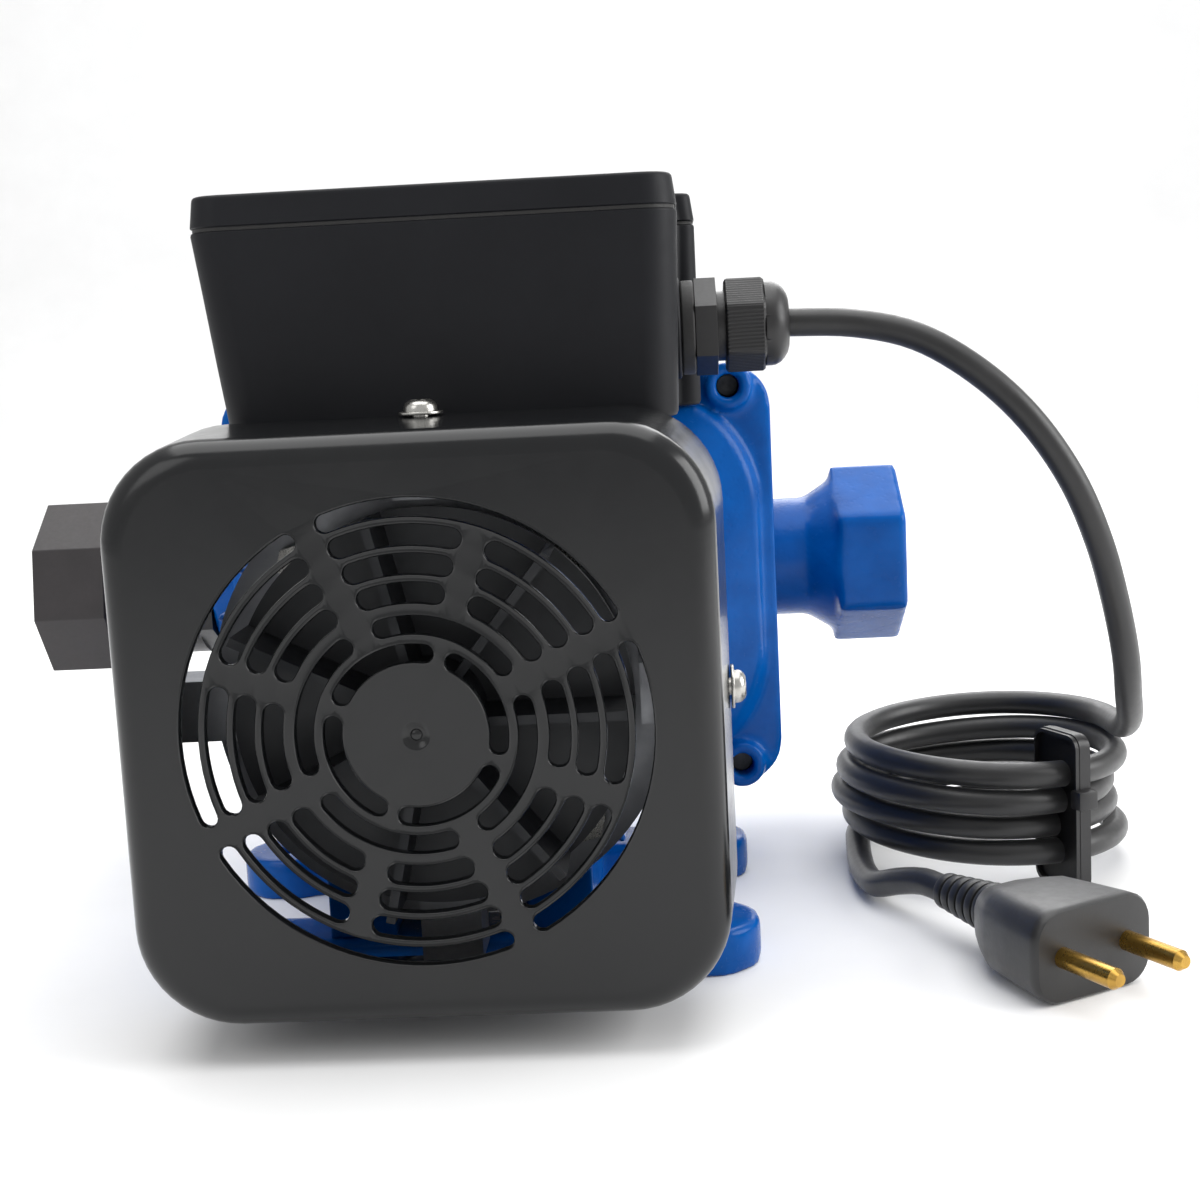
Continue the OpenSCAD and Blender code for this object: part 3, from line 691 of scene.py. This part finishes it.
@dataclass
class MainsLead:
    """The lead: an arc from the gland, a tied coil, and a short tail to the plug.

    The routes are those of the CAD source, in millimetres; the coil's turns are worked out.
    """

    diameter: float = 7.0
    exit: Point = (85.8, -6, 153)
    lead: tuple[Point, ...] = (
        (79, -6, 153), (86, -6, 153), (102, -7, 152), (117, -10, 148), (131, -13, 139),
        (143, -15, 127), (153, -15, 112), (160, -13, 96), (165, -9, 80), (169, -3, 65),
        (172, 6, 52.5), (175, 17, 44), (176, 29, 39))
    tail: tuple[Point, ...] = (
        (103, 28, 4.2), (103, 14, 4), (104.6, 2, 5), (109.4, -7.8, 8.6), (114.5, -16.2, 11),
        (119, -24, 11))
    coil_centre: Flat = (140, 42)
    coil_radius: float = 36.0
    coil_top: float = 38.0
    coil_foot: float = 5.0
    turns: float = 4.5
    per_turn: int = 28
    sag: float = 1.3
    loose: float = 3.4
    relief: float = 20.0
    plug_turn: float = -60.0
    tie_turn: float = -65.0
    tie_reach: float = 8.0
    tie_wall: float = 0.65
    length: float = 1.29

    def coil_points(self) -> list[Point]:
        """Work out the coil's turns, from the top one at the right to the foot at the left."""
        count = int(self.turns * self.per_turn)
        points = []
        for i in range(count + 1):
            turn = i / self.per_turn
            angle = 2 * math.pi * turn
            ease = math.sin(math.pi * i / count)
            wander = self.loose * ease * math.sin(angle * 1.19 + 2.1) + 0.8 * ease * math.sin(3 * angle)
            radius = self.coil_radius + wander
            height = self.coil_top + (self.coil_foot - self.coil_top) * i / count
            lift = self.sag * ease * (height - self.coil_foot) / self.coil_top * math.sin(2 * angle)
            points.append((self.coil_centre[0] + radius * math.cos(angle),
                           self.coil_centre[1] + radius * math.sin(angle), height + lift))
        return points

    def route(self, step: float = 3.0) -> list[Vector]:
        """Run one smooth curve through the lead, the coil and the tail.

        Args:
            step: Length between the curve's points, in millimetres.

        Returns:
            The curve's points, in millimetres.
        """
        marks = [Vector(p) for p in (*self.lead, *self.coil_points(), *self.tail)]
        marks = [marks[0] * 2 - marks[1], *marks, marks[-1] * 2 - marks[-2]]
        points = [marks[1]]
        for a, b, c, d in zip(marks, marks[1:], marks[2:], marks[3:]):
            pieces = max(1, round((c - b).length / step))
            for k in range(1, pieces + 1):
                t = k / pieces
                points.append(0.5 * (2 * b + (c - a) * t + (2 * a - 5 * b + 4 * c - d) * t * t
                                     + (3 * b - a - 3 * c + d) * t ** 3))
        return points

    def build_cord(self) -> Piece:
        """Draw the cord as a round curve along its route."""
        points = self.route()
        data = bpy.data.curves.new("mains_cord", "CURVE")
        data.dimensions = "3D"
        data.bevel_depth = self.diameter / 2 * MM
        data.bevel_resolution = 7
        data.use_fill_caps = True
        spline = data.splines.new("POLY")
        spline.points.add(len(points) - 1)
        for target, point in zip(spline.points, points):
            target.co = (*(point * MM), 1.0)
        spline.use_smooth = True
        total = sum((b - a).length for a, b in zip(points, points[1:]))
        LOG.info("the cord's route is %.1f mm long", total)
        return add_object("mains_cord", data)

    def plug_frame(self) -> Matrix:
        """Matrix of the plug's own frame, with +Z out through the pins."""
        turn = Matrix.Rotation(math.radians(self.plug_turn), 4, "Z") @ Matrix.Rotation(math.pi / 2, 4, "Y")
        return Matrix.Translation(Vector(self.tail[-1]) * MM) @ turn

    def build_relief(self) -> Piece:
        """Taper a ribbed sleeve from the cord to the plug."""
        rings = []
        count = 6
        for i in range(count):
            start = 0.3 + i * self.relief / count
            radius = 4.6 + 1.8 * i / (count - 1)
            rings += [(radius - 0.9, start), (radius - 0.1, start + 0.1), (radius, start + 0.4),
                      (radius, start + 1.8), (radius - 0.15, start + 2.2), (radius - 0.9, start + 2.3)]
        bm = bmesh.new()
        profile = [(3.55, 0.2), *rings, (5.6, self.relief + 0.4), (3.55, self.relief + 0.4)]
        verts = [bm.verts.new(Vector((r, 0, z)) * MM) for r, z in profile]
        edges = [bm.edges.new((verts[i - 1], verts[i])) for i in range(len(verts))]
        bmesh.ops.spin(bm, geom=[*verts, *edges], angle=2 * math.pi, steps=40, axis=(0, 0, 1),
                       cent=(0, 0, 0), use_merge=True)
        bm.transform(self.plug_frame())
        return finish_mesh(bm, "plug_relief_ribbed", 50)

    def build_plug(self) -> Piece:
        """Mould the plug's body: a waisted block with grip ribs and a flat face."""
        sections = [(0.0, 10.5, 13.0, 4.6), (0.5, 13.5, 16.5, 5.0), (1.5, 15.0, 18.0, 5.2),
                    (6.0, 17.6, 23.5, 5.6), (11.0, 20.0, 28.2, 6.0), (20.0, 20.8, 31.0, 6.4),
                    (29.0, 21.6, 33.4, 6.8), (31.2, 21.6, 33.6, 6.8), (31.9, 20.6, 32.6, 6.4),
                    (32.0, 19.0, 31.0, 5.8)]
        bm = bmesh.new()
        loops = []
        for z, width, height, radius in sections:
            outline = round_rect(width, height, radius, 6)
            loops.append(in_metres((x, y, z + self.relief + 0.1) for x, y in outline))
        skin = add_skin(bm, loops)
        fill(bm, skin[0])
        fill(bm, skin[-1])
        bm.transform(self.plug_frame())
        return finish_mesh(bm, "plug_body_moulded", 40)

    def build_tie(self) -> Piece:
        """Bend a ribbed nylon strap round the coil's turns, with its lock on the outside."""
        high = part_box("cable_tie")[1]
        inner, outer = self.coil_radius - self.tie_reach, self.coil_radius + self.tie_reach
        bottom, top = 0.75, high.z / MM - 0.8
        path = rounded_outline([(inner - 0.7, bottom, 3.5), (outer + 0.7, bottom, 3.5),
                                (outer + 0.7, top, 3.5), (inner - 0.7, top, 3.5)], 6)
        centre = Vector(((inner + outer) / 2, (bottom + top) / 2))
        bm = bmesh.new()
        loops = []
        for side, thick in ((-2.3, 0.0), (-2.3, 1.0), (-1.1, 1.0), (-1.1, 1.3), (1.1, 1.3), (1.1, 1.0),
                            (2.3, 1.0), (2.3, 0.0)):
            loop = []
            for x, z in path:
                away = (Vector((x, z)) - centre).normalized() * (thick - self.tie_wall)
                loop.append((x + away.x, side, z + away.y))
            loops.append(in_metres(loop))
        skin = add_skin(bm, loops)
        bmesh.ops.bridge_loops(bm, edges=skin[0] + skin[-1])
        lock = bmesh.ops.create_cube(bm, size=1.0)["verts"]
        bmesh.ops.scale(bm, verts=lock, vec=Vector((4.2, 6.0, 5.2)) * MM)
        bmesh.ops.translate(bm, verts=lock, vec=Vector((outer + 1.2, 0, 26)) * MM)
        lock_edges = list({e for v in lock for e in v.link_edges})
        bmesh.ops.bevel(bm, geom=lock_edges, offset=0.7 * MM, segments=2, profile=0.5, affect="EDGES",
                        material=-1)
        turn = Matrix.Rotation(math.radians(self.tie_turn), 4, "Z")
        bm.transform(Matrix.Translation(Vector((*self.coil_centre, 0)) * MM) @ turn)
        return finish_mesh(bm, "cable_tie_strap", 40)

    def build(self) -> None:
        cord = place(self.build_cord(), Look.SHEATH, "root", "cord_rubber",
                     "power_cord", "cord_coil", "cord_tail")
        relief = place(self.build_relief(), Look.SHEATH, "root", "cord_rubber", "plug_relief")
        plug = place(self.build_plug(), Look.SHEATH, "root", "cord_rubber", "plug_body")
        tie = place(self.build_tie(), Look.NYLON, "root", "black_nylon", "cable_tie")


# ---- fan cover -----------------------------------------------------------------------------


@dataclass
class FanCover:
    """The glossy cover: a round-cornered cap with a slotted grille in rings.

    Sizes in millimetres; the outline comes from the CAD cover's box.
    """

    edge: float = 6.0
    corner: float = 22.0
    wall: float = 2.5
    draft: Flat = (2.5, 1.5)
    grille: float = 49.5
    lip: float = 0.5
    lip_height: float = 0.25
    rings: tuple[tuple[float, float, int, float, float], ...] = (
        (0.92, 1.00, 4, 25, 5), (0.80, 0.89, 8, 25, 5), (0.68, 0.77, 8, 25, 5),
        (0.56, 0.65, 8, 25, 5), (0.43, 0.51, 4, 25, 5), (0.31, 0.39, 4, 70, 2.5))

    def __post_init__(self) -> None:
        """Read the cover's place from the frame."""
        low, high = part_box("fan_cover")
        self.front = low.y / MM
        self.depth = (high.y - low.y) / MM
        self.width = (high.x - low.x) / MM - 2 * self.draft[0]
        self.height = (high.z - low.z) / MM - 2 * self.draft[1]
        self.middle = (high.z + low.z) / 2 / MM

    def section(self, inset: float, y: float, flare: float = 0.0) -> list[Vector]:
        """One loop of the shell.

        Args:
            inset: Distance inside the front's outline.
            y: Distance behind the front face.
            flare: Part of the draft that is reached, 0 at the front and 1 at the rim.

        Returns:
            The loop's points, in metres.
        """
        width = self.width - 2 * inset + 2 * self.draft[0] * flare
        height = self.height - 2 * inset + 2 * self.draft[1] * flare
        outline = round_rect(width, height, self.corner - inset * 0.6, 12)
        return in_metres((x, self.front + y, self.middle + z) for x, z in outline)

    def shell_loops(self) -> list[list[Vector]]:
        """The shell's loops from the front face's outline round the rim to the face's back."""
        loops = []
        quarter = [math.radians(a) for a in range(0, 91, 10)]
        for a in quarter:
            loops.append(self.section(self.edge * (1 - math.sin(a)), self.edge * (1 - math.cos(a))))
        for part in (0.3, 0.6, 0.97):
            loops.append(self.section(0, self.edge + (self.depth - self.edge) * part, part))
        loops.append(self.section(0.4, self.depth, 1))
        loops.append(self.section(self.wall - 0.4, self.depth, 1))
        for part in (0.97, 0.5):
            loops.append(self.section(self.wall, self.edge + (self.depth - self.edge) * part, part))
        inner = self.edge - self.wall
        for a in reversed(quarter[::3]):
            loops.append(self.section(self.wall + inner * (1 - math.sin(a)),
                                      self.wall + inner * (1 - math.cos(a))))
        return loops

    def slot_outline(self, inner: float, outer: float, start: float, end: float,
                     grow: float) -> list[Flat]:
        """Outline of one curved slot with round ends.

        Args:
            inner: Inner radius of the slot.
            outer: Outer radius of the slot.
            start: Angle of the first end's middle, in degrees.
            end: Angle of the last end's middle, in degrees.
            grow: Distance that the outline is moved outwards.

        Returns:
            The outline's points across and up, from the grille's centre.
        """
        middle, cap = (inner + outer) / 2, (outer - inner) / 2 + grow
        arc = max(4, math.ceil((end - start) / 4))
        points = []
        for centre_angle, radius, sweep in ((None, outer + grow, (start, end)), (end, cap, (end, end + 180)),
                                            (None, inner - grow, (end, start)),
                                            (start, cap, (start + 180, start + 360))):
            steps = arc if centre_angle is None else 8
            first, last = (0, steps) if centre_angle is None else (1, steps - 1)
            for i in range(first, last + 1):
                angle = math.radians(sweep[0] + (sweep[1] - sweep[0]) * i / steps)
                point = Vector((math.cos(angle), math.sin(angle))) * radius
                if centre_angle is not None:
                    turn = math.radians(centre_angle)
                    point += Vector((math.cos(turn), math.sin(turn))) * middle
                points.append(tuple(point))
        return points

    def slots(self) -> Iterable[tuple[float, float, float, float]]:
        """Yield each slot's inner and outer radius and its two end angles."""
        for low, high, count, first, rib in self.rings:
            inner, outer = low * self.grille, high * self.grille
            pull = math.degrees(math.asin((rib / 2 + (outer - inner) / 2) / ((outer + inner) / 2)))
            for k in range(count):
                start = first + 360 / count * k
                yield inner, outer, start + pull, start + 360 / count - pull

    def build(self) -> Piece:
        """Build the cover in one closed mesh."""
        bm = bmesh.new()
        shell = add_skin(bm, self.shell_loops())
        front, back = list(shell[0]), list(shell[-1])
        lips = ((self.lip, 0.0), (self.lip * 0.7, -self.lip_height * 0.7),
                (self.lip * 0.35, -self.lip_height), (0.05, -self.lip_height * 0.6), (-0.05, 0.2),
                (-0.1, 1.2), (0.0, self.wall - 0.3), (0.25, self.wall))
        for inner, outer, start, end in self.slots():
            loops = []
            for grow, depth in lips:
                outline = self.slot_outline(inner, outer, start, end, grow)
                loops.append(in_metres((x, self.front + depth, self.middle + z) for x, z in outline))
            made = add_skin(bm, loops)
            front += made[0]
            back += made[-1]
        gate = []
        for radius, depth in ((3.2, 0.0), (2.7, 0.35), (1.9, 0.9), (1.3, 0.95), (0.9, 0.45), (0.3, 0.35)):
            gate.append(in_metres((x, self.front + depth, self.middle + z) for x, z in circle(24, radius)))
        mark = add_skin(bm, gate)
        front += mark[0]
        fill(bm, mark[-1])
        fill(bm, front)
        fill(bm, back)
        cover = finish_mesh(bm, "fan_cover_shell", 50)
        weigh_normals(cover)
        return place(cover, Look.GLOSSY_ABS, "root", "cover_black", "fan_cover")


# ---- terminal box --------------------------------------------------------------------------


@dataclass
class TerminalBox:
    """The satin box on the motor and its lid, wider at the right rear. Sizes in millimetres."""

    left: float = -52.0
    right: float = 59.0
    front: float = -52.0
    back: float = 35.0
    step_right: float = 63.8
    step_front: float = 12.0
    corner: float = 8.0
    wall: float = 2.5
    lean: Flat = (5.5, 1.5)
    gland: Point = (59.05, -6.0, 153.0)
    screw_inset: float = 6.5
    screw_pocket: Flat = (3.6, 1.7)
    shoulder: float = 1.0

    def __post_init__(self) -> None:
        """Read the heights from the frame."""
        low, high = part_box("terminal_box")
        self.floor = low.z / MM
        self.seam = high.z / MM
        self.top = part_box("box_lid")[1].z / MM

    def outline(self, z: float, inset: float, lean: float = 0.0) -> list[Vector]:
        """One loop of the box.

        Args:
            z: The loop's height.
            inset: Distance inside the seam's outline.
            lean: How far the walls have leaned in, 0 at the seam and 1 at the floor.

        Returns:
            The loop's points, in metres.
        """
        x0 = self.left + inset + self.lean[0] * lean
        x1 = self.right - inset - self.lean[1] * lean
        y0, y1 = self.front + inset + lean, self.back - inset
        xs, ys = self.step_right - inset, self.step_front + inset
        round_r = max(self.corner - inset, 1.2)
        small = max(4.0 - inset * 0.5, 1.0)
        corners = [(x0, y0, round_r), (x1, y0, round_r), (x1, ys, 1.6), (xs, ys, min(small, xs - x1 - 1.7)),
                   (xs, y1, small), (x0, y1, round_r)]
        return in_metres((x, y, z) for x, y in rounded_outline(corners, 8))

    def screw_marks(self) -> list[Flat]:
        """Places of the lid's screws."""
        i = self.screw_inset
        return [(x, y) for x in (self.left + i, self.right - i) for y in (self.front + i, self.back - i)]

    def build_body(self) -> Piece:
        """Build the open box with its floor and the flat pad round the gland."""
        rise = self.seam - self.floor
        loops = [self.outline(self.floor, 1.2, 1), self.outline(self.floor + 0.3, 0.4, 1),
                 self.outline(self.floor + 1.2, 0, 1)]
        for part in (0.35, 0.7):
            loops.append(self.outline(self.floor + rise * part, 0, 1 - part))
        loops += [self.outline(self.seam - 0.7, 0, 0), self.outline(self.seam - 0.2, 0.15, 0),
                  self.outline(self.seam, 0.5, 0), self.outline(self.seam, self.wall, 0),
                  self.outline(self.floor + rise * 0.5, self.wall, 0.5),
                  self.outline(self.floor + 4, self.wall, 1), self.outline(self.floor + 3, self.wall + 1, 1)]
        bm = bmesh.new()
        skin = add_skin(bm, loops)
        fill(bm, skin[0])
        fill(bm, skin[-1])
        pad = []
        for radius, x in ((9.4, -3.2), (12.6, -3.2), (12.6, -0.5), (12.3, -0.15), (11.8, 0.0), (9.4, 0.0)):
            pad.append(in_metres((self.gland[0] + x, self.gland[1] + u, self.gland[2] + v)
                                 for u, v in circle(48, radius)))
        made = add_skin(bm, pad)
        bmesh.ops.bridge_loops(bm, edges=made[0] + made[-1])
        box = finish_mesh(bm, "terminal_box_shell", 40)
        weigh_normals(box)
        return place(box, Look.SATIN_BOX, "root", "box_black", "terminal_box")

    def build_lid(self) -> Piece:
        """Build the lid with its rounded shoulder and a pocket for each screw."""
        low = self.seam + 0.85
        loops = [self.outline(low, self.wall), self.outline(low, 0.25), self.outline(low + 0.25, 0.0),
                 self.outline(self.top - self.shoulder - 0.2, 0.75)]
        for a in (20, 40, 60, 78, 90):
            angle = math.radians(a)
            loops.append(self.outline(self.top - self.shoulder * (1 - math.sin(angle)),
                                      0.8 + self.shoulder * (1 - math.cos(angle))))
        bm = bmesh.new()
        skin = add_skin(bm, loops)
        face = list(skin[-1])
        pocket_r, pocket_depth = self.screw_pocket
        for x, y in self.screw_marks():
            rings = []
            for radius, depth in ((pocket_r + 0.2, 0), (pocket_r, 0.2), (pocket_r, pocket_depth)):
                rings.append(in_metres((x + u, y + v, self.top - depth) for u, v in circle(32, radius)))
            made = add_skin(bm, rings)
            face += made[0]
            fill(bm, made[-1])
        fill(bm, face)
        inner = add_skin(bm, [self.outline(low, self.wall), self.outline(self.top - 4.5, self.wall + 0.5)])
        fill(bm, inner[-1])
        lid = finish_mesh(bm, "box_lid_shell", 40)
        weigh_normals(lid)
        return place(lid, Look.SATIN_BOX, "root", "box_black", "box_lid")

    def build(self) -> None:
        """Build box and lid."""
        self.build_body()
        self.build_lid()


# ---- cable gland ---------------------------------------------------------------------------


@dataclass
class CableGland:
    """The nylon gland: a hexagon collar and a ribbed dome nut. Sizes in millimetres."""

    across: float = 20.8
    turn: float = 36.0
    ribs: int = 13
    rib_depth: float = 0.18

    def hexagon(self, across: float, ribs: int, depth: float) -> list[Flat]:
        """Outline of a hexagon with fine ribs along its flats.

        Args:
            across: Distance across the flats.
            ribs: Number of ribs on each flat, or 0 for plain flats.
            depth: Depth of the grooves between ribs.

        Returns:
            The outline's points.
        """
        points = []
        half = across / 2
        reach = half * math.tan(math.pi / 6)
        for side in range(6):
            angle = math.radians(side * 60 + self.turn)
            out = Vector((math.cos(angle), math.sin(angle)))
            along = Vector((-out.y, out.x))
            steps = max(ribs * 4, 4)
            for k in range(steps):
                place_on = -reach + 2 * reach * (k + 0.5) / steps
                edge = reach - abs(place_on)
                sink = depth if ribs and k % 4 in (0, 3) else 0.0
                soften = 0.5 * max(0.0, 0.9 - edge)
                points.append(tuple(out * (half - sink - soften) + along * place_on))
        return points

    def place_loop(self, x: float, outline: Iterable[Flat],
                   shrink: float = 1.0) -> list[Vector]:
        """Stand an outline across the gland's axis.

        Args:
            x: Its place along the axis.
            outline: Its points.
            shrink: Factor on its size.

        Returns:
            The loop's points, in metres.
        """
        return in_metres((x, self.y + v * shrink, self.z - u * shrink) for u, v in outline)

    def __post_init__(self) -> None:
        """Read the gland's axis and the nut's ends from the frame."""
        low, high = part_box("gland_nut")
        self.start, self.end = low.x / MM, high.x / MM
        self.y = (low.y + high.y) / 2 / MM
        self.z = (low.z + high.z) / 2 / MM

    def build_nut(self) -> Piece:
        """Build the dome nut: ribbed flats, a waist and a round nose with the cord's hole."""
        count = len(self.hexagon(self.across, self.ribs, 0))
        ribbed = self.hexagon(self.across, self.ribs, self.rib_depth)
        smooth = self.hexagon(self.across, self.ribs, 0)
        ring = circle(count, first=math.pi / count + math.radians(self.turn) - math.pi / 6)
        x0 = self.start
        loops = [self.place_loop(x0, ring, 8.9), self.place_loop(x0, smooth, 0.93),
                 self.place_loop(x0 + 0.5, smooth, 0.99), self.place_loop(x0 + 0.9, ribbed),
                 self.place_loop(x0 + 9.0, ribbed), self.place_loop(x0 + 9.3, smooth, 0.995),
                 self.place_loop(x0 + 9.9, smooth, 0.95)]
        for radius, along in ((10.35, 9.95), (10.35, 11.4), (10.2, 12.4), (9.6, 13.6), (8.6, 14.6),
                              (7.3, 15.4), (6.2, 15.75), (4.4, 15.8), (3.9, 15.4), (3.75, 12.0)):
            loops.append(self.place_loop(x0 + along, ring, radius))
        bm = bmesh.new()
        loops += [self.place_loop(x0 + 11.0, ring, 8.7), self.place_loop(x0 + 1.0, ring, 8.7), loops[0]]
        add_skin(bm, loops)
        nut = finish_mesh(bm, "gland_nut_ribbed", 38)
        return place(nut, Look.NYLON, "root", "black_nylon", "gland_nut")

    def build(self) -> None:
        """Build the nut and round the collar's edges."""
        self.build_nut()
        place(moulded_copy("gland_body", 0.5), Look.NYLON, "root", "black_nylon", "gland_body")


# ---- screws --------------------------------------------------------------------------------


@dataclass
class PanScrews:
    """Pan head screws with a cross recess. Sizes in millimetres."""

    name: str
    node: str
    places: list[Matrix]
    radius: float
    height: float
    cross: float
    length: float
    thread: float

    def cross_outline(self, size: float) -> list[Flat]:
        """Outline of the cross recess.

        Args:
            size: Reach of its arms.

        Returns:
            The outline's points.
        """
        arm = size * 0.24
        corner = [(size, -arm), (size, arm), (arm, arm)]
        points = []
        for quarter in range(4):
            cos, sin = round(math.cos(quarter * math.pi / 2)), round(math.sin(quarter * math.pi / 2))
            points += [(x * cos - y * sin, x * sin + y * cos) for x, y in corner]
        return points

    def build_one(self, bm: bmesh.types.BMesh, spot: Matrix) -> None:
        """Add one screw to the mesh, its head's seat at the matrix's origin.

        Args:
            bm: The mesh to add to.
            spot: The screw's place, with +Z out of the head.
        """
        dome = [(self.thread, -self.length), (self.thread, 0.0), (self.radius, 0.0),
                (self.radius, self.height * 0.22)]
        for a in (20, 40, 60, 76):
            angle = math.radians(a)
            dome.append((self.radius * (0.42 + 0.58 * math.cos(angle)),
                         self.height * (0.22 + 0.78 * math.sin(angle) / math.sin(math.radians(76)))))
        loops = []
        for radius, z in dome:
            ring = in_metres((x, y, z) for x, y in circle(32, radius))
            loops.append([spot @ point for point in ring])
        skin = add_skin(bm, loops)
        recess = []
        for size, z in ((self.cross, self.height), (self.cross * 0.9, self.height - 0.3),
                        (self.cross * 0.5, self.height - 1.3)):
            outline = self.cross_outline(size)
            recess.append([spot @ point for point in in_metres((x, y, z) for x, y in outline)])
        made = add_skin(bm, recess)
        fill(bm, skin[-1] + made[0])
        fill(bm, made[-1])
        fill(bm, skin[0])

    def build(self) -> Piece:
        """Build all the screws in one piece."""
        bm = bmesh.new()
        for spot in self.places:
            self.build_one(bm, spot)
        screws = finish_mesh(bm, self.name, 40)
        return place(screws, Look.ZINC, "root", "zinc_steel", self.node)


def cover_screw_places(head_seat: float = 1.0, along: float = -58.0) -> list[Matrix]:
    """Places of the four screws of the fan cover.

    Args:
        head_seat: Height of the heads above the cover's wall, in millimetres.
        along: The screws' place along the shaft, in millimetres.

    Returns:
        One matrix for each screw.
    """
    low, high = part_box("fan_cover")
    half_w = (high.x - low.x) / 2 / MM - 0.25 + head_seat
    half_h = (high.z - low.z) / 2 / MM - 0.15 + head_seat
    middle = (high.z + low.z) / 2
    spots = []
    for angle, reach in ((0, half_h), (90, half_w), (180, half_h), (270, half_w)):
        turn = Matrix.Rotation(math.radians(angle), 4, "Y") @ Matrix.Rotation(math.radians(25), 4, "Z")
        out = Matrix.Rotation(math.radians(angle), 3, "Y") @ Vector((0, 0, reach * MM))
        spots.append(Matrix.Translation(out + Vector((0, along * MM, middle))) @ turn)
    return spots


# ---- castings and the rest -----------------------------------------------------------------


@dataclass
class Castings:
    """The blue castings, softened as sand castings are. Cell sizes in millimetres."""

    cells: dict[str, tuple[float, int, float]] = field(default_factory=lambda: {
        "pump_casing": (1.1, 8, 0.45), "motor_bracket": (1.0, 7, 0.45),
        "base_cradle": (1.0, 7, 0.5), "motor_frame": (1.0, 4, 0.45)})

    def build(self) -> None:
        """Cast each blue piece."""
        for node, (voxel, passes, keep) in self.cells.items():
            place(cast_copy(node, voxel, passes, keep), Look.BLUE_ENAMEL, "root", "blue_paint", node)


@dataclass
class Hardware:
    """CAD pieces that keep their shape: rounded copies of those that show, and plain nodes."""

    rounded: dict[str, tuple[float, Look, str, str]] = field(default_factory=lambda: {
        "union_nut": (0.7, Look.NUT_NYLON, "nut", "black_nylon"),
        "flow_switch_body": (0.5, Look.NYLON, "root", "black_nylon"),
        "reed_switch": (0.6, Look.NYLON, "root", "black_nylon"),
        "cooling_fan": (0.4, Look.FAN_GREY, "rotor", "fan_grey"),
        # the casing bolts take the darkened zinc: painted shade for their recessed ends
        "casing_bolts": (0.3, Look.PAINTED_SHADE_ZINC, "root", "zinc_steel"),
        "cover_washers": (0.15, Look.ZINC, "root", "zinc_steel"),
        "gland_washer": (0.5, Look.RUBBER, "root", "black_rubber")})
    plain: dict[str, Look] = field(default_factory=lambda: {
        "fan_clip": Look.STEEL, "rear_end_shield": Look.ALUMINIUM, "stator_core": Look.LAMINATION,
        "stator_windings": Look.COPPER, "rotor_core": Look.LAMINATION, "shaft": Look.STEEL,
        "rear_bearing": Look.STEEL, "front_bearing": Look.STEEL, "tie_bolts": Look.ZINC,
        "cradle_bolts": Look.ZINC, "lid_gasket": Look.RUBBER,
        "run_capacitor": Look.CREAM, "terminal_block": Look.CREAM, "earth_screw": Look.BRASS,
        "gland_lock_nut": Look.NYLON, "gland_insert": Look.RUBBER, "casing_gasket": Look.RUBBER,
        "impeller": Look.BRASS, "impeller_nut": Look.STEEL, "seal_rotary": Look.RUBBER,
        "seal_seat": Look.CERAMIC, "flow_flap": Look.CREAM, "flap_pin": Look.STEEL,
        "union_washer": Look.RUBBER, "plug_pins": Look.BRASS})

    def build(self) -> None:
        """Round the pieces that show and dress the others."""
        for node, (width, look, body, slot) in self.rounded.items():
            place(moulded_copy(node, width), look, body, slot, node)
        for node, look in self.plain.items():
            dress(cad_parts[node], look)


def main() -> None:
    """Build the pump's looks round the frame, in order."""
    logging.basicConfig(level=logging.INFO, format="%(name)s: %(message)s")
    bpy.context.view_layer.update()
    studio = Studio()
    studio.build_camera()
    MainsLead().build()
    studio.build_floor()
    studio.build_lights()
    FanCover().build()
    box = TerminalBox()
    box.build()
    CableGland().build()
    PanScrews("cover_screws_pan", "cover_screws", cover_screw_places(), 3.8, 2.6, 2.2, 11, 2.0).build()
    lid_spots = [Matrix.Translation(Vector((x, y, box.top - 1.5)) * MM) for x, y in box.screw_marks()]
    PanScrews("lid_screws_pan", "lid_screws", lid_spots, 3.2, 1.5, 1.7, 14, 1.5).build()
    Castings().build()
    Hardware().build()


if __name__ == "__main__":
    main()
